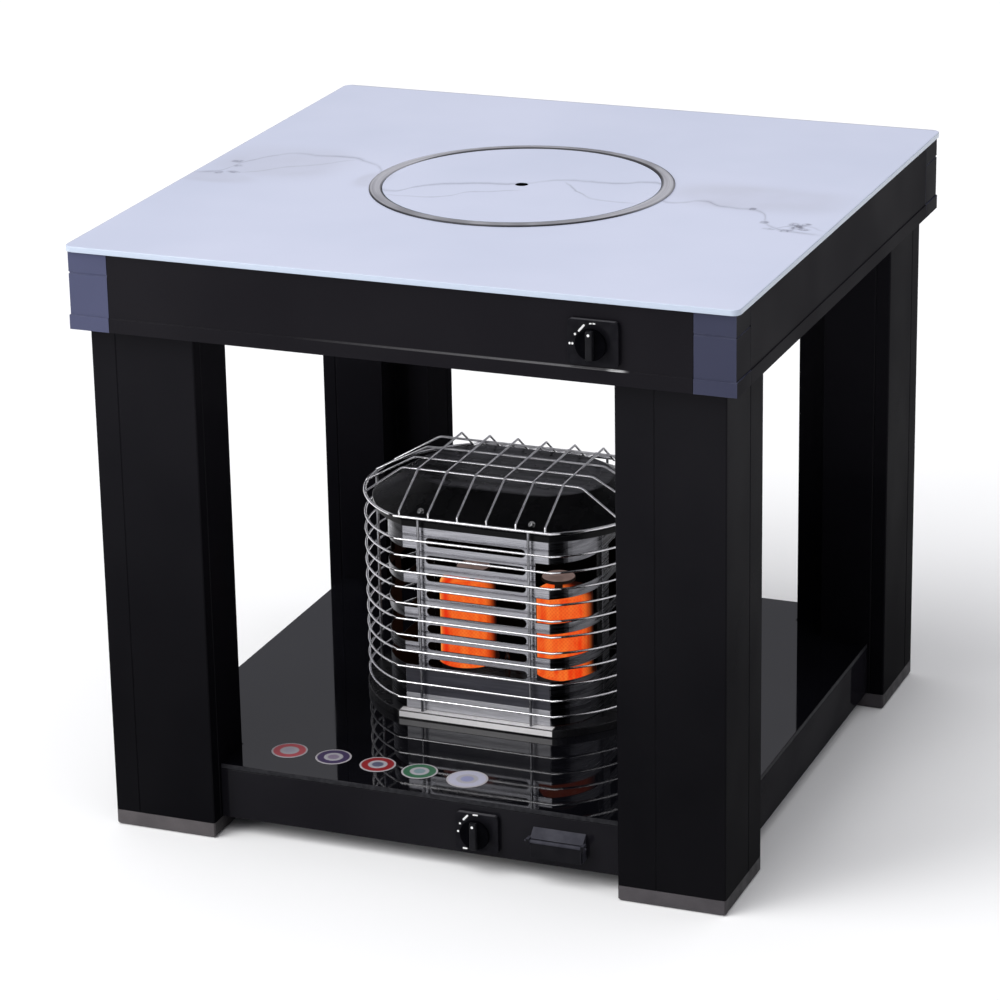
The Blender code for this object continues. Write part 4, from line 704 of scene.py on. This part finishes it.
# White stamped ink of the dial marks
plain("dial_white", (0.80, 0.80, 0.80), 0.55, (900, (0.72, 0.72, 0.72), (0.86, 0.86, 0.86)), specular=0.3)


# Pieces
def add_piece(name, shape, look, body, stands_for=(), smooth=40):
    """Object from a bmesh, riding on a body, with even shading over its flats; it may stand for CAD nodes."""
    mesh = bpy.data.meshes.new(name)
    shape.to_mesh(mesh)
    shape.free()
    mesh.shade_smooth()
    mesh.set_sharp_from_angle(angle=radians(smooth))
    mesh.materials.append(LOOKS[look])
    made = bpy.data.objects.new(name, mesh)
    scene.collection.objects.link(made)
    even = made.modifiers.new("even_shading", "WEIGHTED_NORMAL")
    even.keep_sharp = True
    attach(made, body)
    if stands_for:
        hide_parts(*stands_for)
    return made


def dress(look, *names):
    """Finish for CAD nodes whose shape stays."""
    for name in names:
        nodes[name].data.materials.clear()
        nodes[name].data.materials.append(LOOKS[look])


def moved(shape, matrix):
    """The shape after a transform."""
    bmesh.ops.transform(shape, matrix=matrix, verts=shape.verts)
    return shape


def round_edges(shape, width, segments=2, sharper_than=None, clamp=False):
    """Rounds all edges, or those that are sharper than an angle."""
    edges = shape.edges[:]
    if sharper_than is not None:
        edges = [e for e in edges if e.is_manifold and e.calc_face_angle() > radians(sharper_than)]
    bmesh.ops.bevel(shape, geom=edges, offset=width, segments=segments, profile=0.5, affect="EDGES",
                    material=-1, clamp_overlap=clamp)


def rounded(name, node, width, look, segments=2, sharper_than=30, body="table"):
    """Piece in place of a CAD node, of the same shape with its sharp edges rounded."""
    shape = bmesh.new()
    shape.from_mesh(nodes[node].data)
    bmesh.ops.remove_doubles(shape, verts=shape.verts, dist=1e-5)
    bmesh.ops.dissolve_limit(shape, angle_limit=radians(0.5), verts=shape.verts, edges=shape.edges)
    round_edges(shape, width, segments, sharper_than, clamp=True)
    add_piece(name, shape, look, body, [node])


def spun(profile, steps, closed=False, matrix=None):
    """Profile of (radius, height) points turned about Z."""
    shape = bmesh.new()
    row = [shape.verts.new((radius, 0, height)) for radius, height in profile]
    for pair in zip(row, row[1:] + (row[:1] if closed else [])):
        shape.edges.new(pair)
    bmesh.ops.spin(shape, geom=shape.verts[:] + shape.edges[:], cent=(0, 0, 0), axis=(0, 0, 1), angle=2 * pi,
                   steps=steps, use_merge=True)
    bmesh.ops.remove_doubles(shape, verts=shape.verts, dist=1e-6)
    bmesh.ops.recalc_face_normals(shape, faces=shape.faces)
    return shape if matrix is None else moved(shape, matrix)


def block(size, centre, bevel, segments=2):
    """Box with rounded edges."""
    shape = bmesh.new()
    bmesh.ops.create_cube(shape, size=1)
    bmesh.ops.scale(shape, vec=size, verts=shape.verts)
    round_edges(shape, bevel, segments)
    bmesh.ops.translate(shape, vec=centre, verts=shape.verts)
    return shape


def six_sided(radius, top_radius, depth, bevel, lift):
    """Head of a nut or screw."""
    shape = bmesh.new()
    bmesh.ops.create_cone(shape, cap_ends=True, segments=6, radius1=radius, radius2=top_radius, depth=depth)
    round_edges(shape, bevel)
    bmesh.ops.translate(shape, vec=(0, 0, lift), verts=shape.verts)
    return shape


def pierced_sheet(loops, thickness, bevel):
    """Flat sheet on Z = 0 from its outline and the outlines of its holes."""
    shape = bmesh.new()
    edges = []
    for loop in loops:
        row = [shape.verts.new((x, y, 0)) for x, y in loop]
        edges += [shape.edges.new(pair) for pair in zip(row, row[1:] + row[:1])]
    bmesh.ops.triangle_fill(shape, edges=edges, use_beauty=True, normal=(0, 0, 1))
    bmesh.ops.dissolve_limit(shape, angle_limit=radians(1), verts=shape.verts, edges=shape.edges)
    made = bmesh.ops.extrude_face_region(shape, geom=shape.faces[:])["geom"]
    raised = [v for v in made if isinstance(v, bmesh.types.BMVert)]
    bmesh.ops.translate(shape, vec=(0, 0, thickness), verts=raised)
    bmesh.ops.recalc_face_normals(shape, faces=shape.faces)
    round_edges(shape, bevel, sharper_than=60)
    return shape


def skin(rows, closed=False, slot_of=lambda row, place: 0):
    """Sheet through rows of points, each face in its material slot, or left out where that is None."""
    shape = bmesh.new()
    lines = [[shape.verts.new(point) for point in row] for row in rows]
    for number, (lower, upper) in enumerate(zip(lines, lines[1:])):
        for k in range(len(lower) if closed else len(lower) - 1):
            after = (k + 1) % len(lower)
            slot = slot_of(number, k)
            if slot is not None:
                face = shape.faces.new((lower[k], lower[after], upper[after], upper[k]))
                face.material_index = slot
    if closed:
        shape.faces.new(lines[-1])
    bmesh.ops.recalc_face_normals(shape, faces=shape.faces)
    return shape


def gathered(shapes, matrix=None):
    """One bmesh from several."""
    whole = bmesh.new()
    for shape in shapes:
        mesh = bpy.data.meshes.new("gathered")
        shape.to_mesh(mesh)
        shape.free()
        whole.from_mesh(mesh)
        bpy.data.meshes.remove(mesh)
    return whole if matrix is None else moved(whole, matrix)


def tubes(paths, radius, closed=False):
    """Round wires along paths, as one bmesh."""
    curve = bpy.data.curves.new("wires", "CURVE")
    curve.dimensions = "3D"
    curve.bevel_depth = radius
    curve.bevel_resolution = 3
    curve.use_fill_caps = True
    for path in paths:
        spline = curve.splines.new("POLY")
        spline.points.add(len(path) - 1)
        for point, place in zip(spline.points, path):
            point.co = (*place, 1)
        spline.use_cyclic_u = closed
    holder = bpy.data.objects.new("wires", curve)
    scene.collection.objects.link(holder)
    graph = bpy.context.evaluated_depsgraph_get()
    mesh = bpy.data.meshes.new_from_object(holder.evaluated_get(graph))
    bpy.data.objects.remove(holder, do_unlink=True)
    shape = bmesh.new()
    shape.from_mesh(mesh)
    bpy.data.meshes.remove(mesh)
    bmesh.ops.remove_doubles(shape, verts=shape.verts, dist=1e-6)
    bmesh.ops.recalc_face_normals(shape, faces=shape.faces)
    return shape


def bent(points, radii, steps):
    """Open path with its inner corners turned into arcs of the radii given."""
    points = [Vector(p) for p in points]
    made = [points[0]]
    for before, corner, after, radius in zip(points, points[1:], points[2:], radii):
        back = (before - corner).normalized()
        ahead = (after - corner).normalized()
        half = back.angle(ahead) / 2
        middle = corner + (back + ahead).normalized() * radius / sin(half)
        reach = radius * cos(half) / sin(half)
        start, end = corner + back * reach - middle, corner + ahead * reach - middle
        sweep = start.angle(end)
        for k in range(steps + 1):
            share = k / steps
            arm = (start * sin((1 - share) * sweep) + end * sin(share * sweep)) / sin(sweep)
            made.append(middle + arm)
    return made + [points[-1]]


# Top: glass, ring and lid
def dress_top():
    """Top plate, steel ring, round lid and the liner of its finger hole."""
    rounded("top_plate", "top_glass", 0.0011, "stone_print_glass", 3)
    ring = [(0.1575, 0.7107), (0.1710, 0.7107), (0.1710, 0.7183), (0.1807, 0.7183), (0.1807, 0.7190),
            (0.1804, 0.7194), (0.1796, 0.7197), (0.1780, 0.7199), (0.1730, 0.7200), (0.1682, 0.7199),
            (0.1666, 0.7197), (0.1658, 0.7194), (0.1655, 0.7190), (0.1655, 0.7122), (0.1575, 0.7122)]
    add_piece("ring", spun(ring, 180, closed=True), "ring_steel", "table", ["lid_ring"])
    lid = [(0.0075, 0.7125), (0.1645, 0.7125), (0.1649, 0.7129), (0.1649, 0.7190), (0.1646, 0.7194),
           (0.1640, 0.7195), (0.0086, 0.7195), (0.0078, 0.7193), (0.0075, 0.7188)]
    add_piece("lid", spun(lid, 180, closed=True), "stone_print_glass", "lid", ["lid_glass"])
    liner = [(0.0046, 0.7127), (0.0074, 0.7127), (0.0074, 0.7189), (0.0071, 0.7193), (0.0062, 0.7193),
             (0.0046, 0.7180)]
    add_piece("finger_hole_liner", spun(liner, 48, closed=True), "black_plastic", "lid")


# Apron, legs and shelf
def dress_frame():
    """Aprons, rails, corner caps, legs, feet and the shelf."""
    for side in SIDES:
        apron, rail = "apron_" + side, "shelf_rail_" + side
        rounded("folded_" + apron, apron, 0.0006, "apron_sheet")
        rounded("folded_" + rail, rail, 0.0007, "black_gloss_sheet")
    for corner in CORNERS:
        cap, leg, foot = "corner_cap_" + corner, "leg_" + corner, "foot_" + corner
        rounded("moulded_" + cap, cap, 0.0007, "corner_blue_grey")
        rounded("lacquered_" + leg, leg, 0.0005, "black_lacquer")
        rounded("moulded_" + foot, foot, 0.0009, "foot_plastic")
    low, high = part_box("shelf_glass")
    arm, neck, deep = high.x, 0.2511, 0.2967
    quarter = [(neck, -arm), (neck, -deep), (deep, -deep), (deep, -neck), (arm, -neck)]
    outline = [Matrix.Rotation(turn * pi / 2, 2) @ Vector(point) for turn in range(4) for point in quarter]
    pipe_hole = 0.008
    turns = [pi * k / 12 for k in range(24)]
    hole = [(HEATER.x + pipe_hole * cos(turn), HEATER.y + pipe_hole * sin(turn)) for turn in turns]
    pane = pierced_sheet([outline, hole], high.z - low.z, 0.0007)
    bmesh.ops.translate(pane, vec=(0, 0, low.z), verts=pane.verts)
    for face in pane.faces:
        face.material_index = 0 if face.normal.z > 0.9 else 1
    made = add_piece("shelf_pane", pane, "black_mirror_glass", "table", ["shelf_glass"])
    made.data.materials.append(LOOKS["ground_glass_edge"])
    dress("black_satin_sheet", "shelf_bearer_front", "shelf_bearer_back")


def lay_stickers():
    """Row of plain round stickers along the front of the shelf."""
    rows = [
        # name, centre, radius, colour of the field, colour of the middle
        ("red", (-0.190, -0.298), 0.0215, (0.40, 0.060, 0.075), (0.33, 0.31, 0.37)),
        ("violet", (-0.133, -0.2985), 0.0215, (0.040, 0.024, 0.080), (0.20, 0.16, 0.23)),
        ("crimson", (-0.075, -0.3015), 0.0215, (0.24, 0.007, 0.010), (0.08, 0.085, 0.14)),
        ("green", (-0.021, -0.3035), 0.0215, (0.024, 0.115, 0.055), (0.17, 0.25, 0.27)),
        ("lilac", (0.040, -0.306), 0.0245, (0.43, 0.43, 0.53), (0.25, 0.26, 0.42)),
    ]
    for name, centre, radius, field, middle in rows:
        place = Matrix.Translation((*centre, SHELF_TOP))
        disc = [(0, 0.00035), (radius - 0.0004, 0.00035), (radius, 0.0002), (radius, 0.0), (0, 0.0)]
        sticker = "sticker_" + name
        sticker_print(sticker, centre, radius, field, middle)
        add_piece(sticker, spun(disc, 64, matrix=place), sticker, "table")


# Knobs, dials and battery box
def knob_parts(place):
    """Turned skirt and hub, hollow grip bar and stepped stem, about an axis that points outwards."""
    skirt = [(0.0030, 0.0146), (0.0162, 0.0144), (0.0174, 0.0140), (0.0180, 0.0132), (0.0180, 0.0112),
             (0.0176, 0.0108), (0.0075, 0.0108), (0.0075, 0.0056), (0.0070, 0.0053), (0.0046, 0.0053),
             (0.0046, 0.0120), (0.0030, 0.0120)]
    middle, taper = 0.0158, 0.88
    bar = block((0.0092, 0.0330, 0.0084), (0, 0, middle), 0.0016, 3)
    for vert in bar.verts:
        if vert.co.z > middle:
            vert.co.x *= taper
    under = min(bar.faces, key=lambda face: face.calc_center_median().z)
    bmesh.ops.inset_individual(bar, faces=[under], thickness=0.0002, depth=-0.0067, use_even_offset=True)
    stem = [(0, 0.0140), (0.0022, 0.0140), (0.0026, 0.0136), (0.0026, 0.0068), (0.0040, 0.0064),
            (0.0040, -0.0151), (0.0036, -0.0155), (0, -0.0155)]
    return spun(skirt, 72, closed=True, matrix=place), moved(bar, place), spun(stem, 48, matrix=place)


def ink(marks, height, place):
    """Short printed strokes from one point to another, each with its width: capsules that lie on a face."""
    strokes = []
    for first, second, width in marks:
        first, second = Vector((*first, height)), Vector((*second, height))
        length = (second - first).length
        shape = bmesh.new()
        bmesh.ops.create_cone(shape, cap_ends=True, segments=20, radius1=width / 2, radius2=width / 2 * 0.94,
                              depth=0.0003)
        for vert in shape.verts:
            vert.co.x += length / 2 if vert.co.x > 0 else -length / 2
        turn = (second - first).to_2d().angle_signed(Vector((1, 0))) if length > 1e-6 else 0.0
        bmesh.ops.rotate(shape, cent=(0, 0, 0), matrix=Matrix.Rotation(turn, 3, "Z"), verts=shape.verts)
        bmesh.ops.translate(shape, vec=(first + second) / 2, verts=shape.verts)
        strokes.append(shape)
    return gathered(strokes, place)


def dress_controls():
    """Dial plates with their marks, knobs on their stems, and the battery box."""
    pointer_height, dial_height = 0.02010, 0.0064
    pointer = [((0, 0.0126), (0, 0.0126), 0.0032)]
    marks = {
        # strokes: from, to, width
        "hob": [((-0.0030, 0.0218), (-0.0014, 0.0220), 0.0016), ((0.0010, 0.0221), (0.0026, 0.0221), 0.0016),
                ((-0.0154, 0.0127), (-0.0098, 0.0193), 0.0024), ((-0.0199, 0.0086), (-0.0199, 0.0086), 0.0027),
                ((-0.0262, -0.0020), (-0.0262, -0.0024), 0.0024),
                ((-0.0230, -0.0020), (-0.0230, -0.0024), 0.0024)],
        "heater": [((-0.0036, 0.0222), (0.0012, 0.0224), 0.0018),
                   ((-0.0158, 0.0148), (-0.0110, 0.0202), 0.0024),
                   ((-0.0203, 0.0092), (-0.0203, 0.0092), 0.0026),
                   ((-0.0228, -0.0008), (-0.0228, -0.0008), 0.0026),
                   ((-0.0165, -0.0212), (-0.0125, -0.0212), 0.0020)],
    }
    for name, axis in CONTROLS.items():
        bezel, knob, spindle = name + "_bezel", name + "_knob", name + "_spindle"
        rounded("rounded_" + bezel, bezel, 0.0009, "bezel_plastic", 3)
        place = Matrix.Translation(axis) @ FACING_FRONT
        disc, bar, stem = knob_parts(place)
        add_piece(name + "_stem", stem, "turned_steel", spindle, [spindle])
        add_piece(name + "_skirt", disc, "black_plastic", knob, [knob])
        add_piece(name + "_grip", bar, "grip_plastic", knob)
        dot = ink(pointer, pointer_height, place)
        add_piece(name + "_pointer", dot, "dial_white", knob)
        dial = ink(marks[name], dial_height, place)
        add_piece(name + "_dial", dial, "dial_white", "table")
    dress("brass", "hob_valve", "heater_valve", "hob_pipe", "heater_pipe")

    rounded("rounded_battery_box", "battery_box", 0.0006, "box_plastic")
    rounded("rounded_battery_flap", "battery_flap", 0.0004, "box_plastic", sharper_than=50,
            body="battery_flap")
    dress("black_plastic", "spark_unit")
    dress("cell_wrap", "battery")


def dress_inlets():
    """Ribbed hose nipples with a lock nut at the back."""
    reach, rib_pitch = 0.0205, 0.0055
    for name in ("hob", "heater"):
        low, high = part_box(name + "_inlet")
        x, z = (low.x + high.x) / 2, (low.z + high.z) / 2
        face = high.y - reach
        profile = [(0, reach), (0.0030, reach), (0.0030, 0.0200), (0.0044, 0.0203)]
        for rib in range(3):
            top = reach - rib * rib_pitch
            profile += [(0.0046, top - 0.0004), (0.0058, top - 0.0048), (0.0058, top - 0.0053),
                        (0.0046, top - rib_pitch)]
        profile += [(0.0046, 0.0041), (0.0104, 0.0040), (0.0110, 0.0034), (0.0110, 0.0003), (0.0058, 0.0003),
                    (0.0058, -0.0118), (0.0040, -0.0120), (0.0040, low.y - face), (0, low.y - face)]
        place = Matrix.Translation((x, face, z)) @ Matrix.Rotation(-pi / 2, 4, "X")
        nut = six_sided(0.0098, 0.0098, 0.0045, 0.0005, 0.0060)
        nipple = gathered([spun(profile, 40, matrix=place), moved(nut, place)])
        add_piece(name + "_nipple", nipple, "brass", "table", [name + "_inlet"])


# Hob under the lid
def dress_hob():
    """Pan, burner with its ports and lid, and pot support."""
    pan = [(0.1630, 0.7104), (0.1575, 0.7104), (0.1560, 0.7100), (0.1552, 0.7088), (0.1530, 0.6640),
           (0.1516, 0.6592), (0.1490, 0.6556), (0.1450, 0.6546), (0.0310, 0.6546), (0.0310, 0.6534),
           (0.1452, 0.6534), (0.1498, 0.6545), (0.1527, 0.6586), (0.1542, 0.6638), (0.1564, 0.7084),
           (0.1575, 0.7092), (0.1630, 0.7092)]
    add_piece("pressed_pan", spun(pan, 120, closed=True), "turned_steel", "table", ["burner_pan"])

    burner = [(0, 0.6698), (0.0385, 0.6698), (0.0398, 0.6690), (0.0400, 0.6680), (0.0392, 0.6645),
              (0.0400, 0.6605), (0.0412, 0.6588), (0.0490, 0.6584), (0.0500, 0.6576), (0.0500, 0.6550),
              (0.0300, 0.6549), (0.0300, 0.6362), (0.0290, 0.6354), (0, 0.6354)]
    shapes = [spun(burner, 72)]
    ports = 36
    for k in range(ports):
        port = block((0.0034, 0.0021, 0.0052), (0.0393, 0, 0.6650), 0.0006, 1)
        shapes.append(moved(port, Matrix.Rotation(2 * pi * k / ports, 4, "Z")))
    add_piece("burner_head", gathered(shapes), "cast_iron", "table", ["hob_burner"])
    cap = [(0, 0.6761), (0.0240, 0.6761), (0.0262, 0.6757), (0.0285, 0.6761), (0.0385, 0.6760),
           (0.0415, 0.6752), (0.0429, 0.6738), (0.0430, 0.6712), (0.0424, 0.6702), (0, 0.6702)]
    add_piece("burner_lid", spun(cap, 72), "brass", "table", ["hob_burner_cap"])
    rounded("iron_support", "pot_support", 0.0010, "cast_iron", 2, 40)
    dress("plain_steel", "under_tray")


# Heater
def corner_arc(half_x, half_y, flat, end_flat=0.0, steps=12):
    """Arc from the end of the flat front round into the flat middle of the right-hand end."""
    rise, run = half_y - end_flat, half_x - flat
    radius = (rise * rise + run * run) / (2 * run)
    sweep = asin(rise / radius)
    angles = [sweep * (1 - k / steps) for k in range(steps + 1)]
    return [(half_x - radius + radius * cos(angle), -end_flat - radius * sin(angle)) for angle in angles]


def round_ended(half, inset, flat):
    """Outline with a flat front and back and round ends, set in from its half sizes."""
    front = corner_arc(half[0] - inset, half[1] - inset, flat)
    end = front + [(x, -y) for x, y in reversed(front[:-1])]
    return end + [(-x, -y) for x, y in end]


def wire_guard():
    """Hoops and rods, the raised grille of cross wires, and long wires with an upright foot on the rim."""
    rim_wire, rod_wire, thin_wire = 0.0019, 0.0017, 0.0014
    half_x, half_y = GUARD_HALF
    plan = round_ended(GUARD_HALF, 0, GUARD_FLAT)

    def hoop(level):
        return [(x, y, level) for x, y in plan]

    first_drop, pitch = 0.0285, 0.02033
    shapes = [tubes([hoop(RIM_Z)], rim_wire, closed=True),
              tubes([hoop(RIM_Z - first_drop - k * pitch) for k in range(11)], thin_wire, closed=True)]

    rod_x, inset = 0.070, 0.0022
    x, y = half_x - inset, half_y - inset
    feet = [(sx * rod_x, sy * y) for sx in (-1, 1) for sy in (-1, 1)] + [(-x, 0), (x, 0)]
    rods = tubes([[(fx, fy, SHELL_FOOT), (fx, fy, RIM_Z)] for fx, fy in feet], rod_wire)
    for face in rods.faces:
        face.material_index = 1
    shapes.append(rods)

    run = half_x - GUARD_FLAT
    radius = (half_y ** 2 + run ** 2) / (2 * run)
    low, high, flat = RIM_Z + 0.0015, RIM_Z + 0.038, 0.1145
    cross_first, cross_pitch, long_pitch = -0.0745, 0.040, 0.037
    crossing = []
    for k in range(4):
        y = cross_first + k * cross_pitch
        end = half_x - radius + sqrt(radius ** 2 - y ** 2)
        path = [(-end, y, low), (-flat, y, high), (flat, y, high), (end, y, low)]
        crossing.append(bent(path, (0.014, 0.014), 6))
    foot, top = RIM_Z + 0.0004, high + 0.0019
    course = [(-half_y, foot), (-half_y, RIM_Z + 0.0070), (-0.0764, top), (0.0625, top),
              (0.0990, RIM_Z + 0.0125), (half_y, RIM_Z + 0.0050), (half_y, foot)]
    bends = (0.003, 0.004, 0.0055, 0.012, 0.0025)
    lengthways = [bent([((k - 2.5) * long_pitch, y, z) for y, z in course], bends, 8) for k in range(6)]
    shapes += [tubes(crossing, thin_wire), tubes(lengthways, thin_wire)]
    cage = gathered(shapes, AT_HEATER)
    guard = add_piece("wire_guard", cage, "chrome_wire", "table", ["heater_guard"])
    guard.data.materials.append(LOOKS["painted_shade_wire"])


def slotted_front():
    """Flat front with its long slots, and tabs between the corner windows on both sides."""
    inner = SHELL_FLAT - 0.017
    edge = [(SHELL_FLAT, SHELL_FOOT)]
    for foot, head in WINDOWS:
        edge += [(SHELL_FLAT, foot), (inner, foot), (inner, head), (SHELL_FLAT, head)]
    edge += [(SHELL_FLAT, SHELL_TOP)]
    loops = [edge + [(-x, z) for x, z in reversed(edge)]]
    half_slot, radius = 0.0635, 0.0051
    straight = half_slot - radius
    for level in SLOTS:
        arc = [(straight + radius * sin(pi * k / 12), level - radius * cos(pi * k / 12)) for k in range(13)]
        loops.append(arc + [(-x, 2 * level - z) for x, z in arc])
    stand = Matrix.Translation((0, SHEET - SHELL_HALF[1], 0)) @ FACING_FRONT
    return moved(pierced_sheet(loops, SHEET, CUT_EDGE), stand)


def windowed_corner(side):
    """Bent corner of a panel: bands round the windows, joined by a black strip at the far end."""
    arc = corner_arc(*SHELL_HALF, SHELL_FLAT, SHELL_END_FLAT, steps=14)
    levels = [SHELL_FOOT] + [z for span in WINDOWS for z in span] + [SHELL_TOP]
    strip = len(arc) - 3

    def slot_of(row, place):
        in_window = row % 2
        return in_window if not in_window or place >= strip else None

    shape = skin([[(side * x, y, z) for x, y in arc] for z in levels], slot_of=slot_of)
    if sum(face.normal.y for face in shape.faces) > 0:
        bmesh.ops.reverse_faces(shape, faces=shape.faces)
    bmesh.ops.solidify(shape, geom=shape.faces[:], thickness=SHEET)
    round_edges(shape, CUT_EDGE, sharper_than=60)
    return shape


def shade_liner():
    """Thin black sheet bent round the inside of the back panel, behind its openings, put in as painted shade
    so the inside looks dark through them.
    """
    gap, wall, foot, head = 0.0032, 0.0005, 0.1450, 0.3300
    arc = corner_arc(SHELL_HALF[0] - gap, SHELL_HALF[1] - gap, SHELL_FLAT, SHELL_END_FLAT, steps=10)
    path = [(x, -y) for x, y in reversed(arc)] + [(-x, -y) for x, y in arc]
    shape = skin([[(x, y, z) for x, y in path] for z in (foot, head)])
    bmesh.ops.solidify(shape, geom=shape.faces[:], thickness=wall)
    return moved(shape, AT_HEATER)


def pressed_cover(half, rows):
    """Open-bottomed cover from outlines (inset, flat, height) that rise and close over the last."""
    outlines = [[(x, y, z) for x, y in round_ended(half, inset, flat)] for inset, flat, z in rows]
    shape = skin(outlines, closed=True)
    bmesh.ops.solidify(shape, geom=shape.faces[:], thickness=COVER_WALL)
    return moved(shape, AT_HEATER)


def screw_head(place, radius):
    """Flanged screw with a six-sided head."""
    flange = spun([(0, 0.0009), (radius * 1.4, 0.0007), (radius * 1.5, 0.0), (0, 0.0)], 24)
    head = six_sided(radius, radius * 0.94, radius, radius * 0.12, 0.0007 + radius / 2)
    return gathered([flange, head], place)


def dress_heater():
    """Shell, trim, base, roof, burners, guard and screws."""
    trim = [
        # finish, height of the strip, height of its middle
        ("trim_plate", 0.0320, 0.1345),
        ("foot_strip", 0.0195, 0.1082),
    ]
    trim_width, trim_wall, trim_y = 0.185, 0.0010, -SHELL_HALF[1] - 0.0006
    for name, turn in (("front", 0), ("back", pi)):
        place = AT_HEATER @ Matrix.Rotation(turn, 4, "Z")
        panel = gathered([slotted_front(), windowed_corner(-1), windowed_corner(1)], place)
        sheet = add_piece("slotted_panel_" + name, panel, "pressed_steel", "table",
                          ["heater_panel_" + name])
        sheet.data.materials.append(LOOKS["heat_black"])
        for look, tall, middle in trim:
            plate = block((trim_width, trim_wall, tall), (0, trim_y, middle), 0.0004)
            add_piece(look + "_" + name, moved(plate, place), look, "table")
    # Painted shade: a black sheet behind the openings keeps the inside dark
    add_piece("shade_liner", shade_liner(), "heat_black", "table")
    for side in ("left", "right"):
        panel = "heater_panel_" + side
        rounded("pressed_" + panel, panel, CUT_EDGE, "pressed_steel", 2, 50)

    overhang, roof_gap = 0.0025, 0.009
    low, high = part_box("heater_base")
    base = pressed_cover((GUARD_HALF[0] + overhang, GUARD_HALF[1] + overhang), [
        (inset, GUARD_FLAT - inset / 2, z) for inset, z in (
            (0, low.z), (0, high.z - 0.0012), (0.00035, high.z - 0.00035), (0.0012, high.z))])
    add_piece("base_tray", base, "cream_enamel", "table", ["heater_base"])
    low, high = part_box("heater_roof")
    roof = pressed_cover((GUARD_HALF[0] - roof_gap, GUARD_HALF[1] - roof_gap), [
        (0, 0.0940, low.z), (0, 0.0940, low.z + 0.0064), (0.0004, 0.0936, low.z + 0.0070),
        (0.0505, 0.0503, high.z - 0.0008), (0.0530, 0.0480, high.z)])
    add_piece("roof_cover", roof, "heat_black", "table", ["heater_roof"], smooth=24)
    dress("pressed_steel", "burner_manifold")
    dress("white_ceramic", "spark_electrode")

    column = [(0, 0.2223), (0.0287, 0.2223), (0.0322, 0.2209), (0.0340, 0.2184), (0.0345, 0.2150),
              (0.0345, 0.1200), (0.0372, 0.1198), (0.0375, 0.1190), (0.0375, 0.1171), (0, 0.1168)]
    disc = [(0, 0.2386), (0.0150, 0.2386), (0.0170, 0.2383), (0.0200, 0.2386), (0.0208, 0.2380),
            (0.0210, 0.2372), (0.0210, 0.2352), (0.0204, 0.2346), (0.0050, 0.2346), (0.0050, 0.2226),
            (0, 0.2226)]
    column_x, disc_x = 0.0635, 0.0557
    for side, name, streak in ((-1, "left", 0.95), (1, "right", 0.25)):
        centre = HEATER + Vector((side * column_x, 0, 0))
        glow = "glowing_ceramic_" + name
        glowing_ceramic(glow, centre, streak)
        pillar = spun(column, 72, matrix=Matrix.Translation(centre))
        add_piece("glowing_column_" + name, pillar, glow, "table", ["burner_column_" + name])
        plate = spun(disc, 60, matrix=Matrix.Translation(HEATER + Vector((side * disc_x, 0, 0))))
        add_piece("browned_disc_" + name, plate, "burnt_steel", "table", ["burner_cap_" + name])
    wire_guard()

    screws, screw_radius = [], 0.0030
    for place, lean in (((-0.0815, -0.1385, 0.3466), 60), ((0.0600, -0.1385, 0.3466), 60),
                        ((0.0854, 0.0195, 0.3690), 0), ((-0.0950, 0.0195, 0.3690), 0)):
        seat = Matrix.Translation(place) @ Matrix.Rotation(radians(lean), 4, "X")
        screws.append(screw_head(seat, screw_radius))
    add_piece("roof_screws", gathered(screws), "dark_screw", "table")


# Studio
def set_studio():
    """Pale floor, soft overhead light and a grey room."""
    shape = bmesh.new()
    bmesh.ops.create_grid(shape, x_segments=1, y_segments=1, size=16)
    bmesh.ops.translate(shape, vec=(0, 0, -0.0004), verts=shape.verts)
    mesh = bpy.data.meshes.new("floor")
    shape.to_mesh(mesh)
    shape.free()
    floor = bpy.data.objects.new("floor", mesh)
    scene.collection.objects.link(floor)
    Finish("floor_paint", (0.90, 0.90, 0.90), 0.9, specular=0.0)
    mesh.materials.append(LOOKS["floor_paint"])

    world = bpy.data.worlds.new("room")
    scene.world = world
    world.use_nodes = True
    room = Net(world.node_tree)
    height = room.spread(room.split(room.place("Generated"))["Z"], 0.30, 0.85)
    sky = room.mix(height, (0.25, 0.25, 0.28), (0.95, 0.95, 0.97))
    room.plug(world.node_tree.nodes["Background"].inputs["Color"], sky)

    sun = bpy.data.objects.new("soft_light", bpy.data.lights.new("soft_light", "SUN"))
    sun.data.energy = 1.8
    sun.data.angle = radians(50)
    sun.rotation_euler = (radians(38), 0, radians(-38))
    scene.collection.objects.link(sun)
    fill = bpy.data.objects.new("front_fill", bpy.data.lights.new("front_fill", "AREA"))
    fill.data.energy = 46
    fill.data.size = 1.8
    fill.location = (-2.3, -3.0, 1.3)
    fill.rotation_euler = (Vector((0, 0, 0.35)) - fill.location).to_track_quat("-Z", "Y").to_euler()
    scene.collection.objects.link(fill)


place_camera()
dress_top()
dress_frame()
lay_stickers()
dress_controls()
dress_inlets()
dress_hob()
dress_heater()
set_studio()
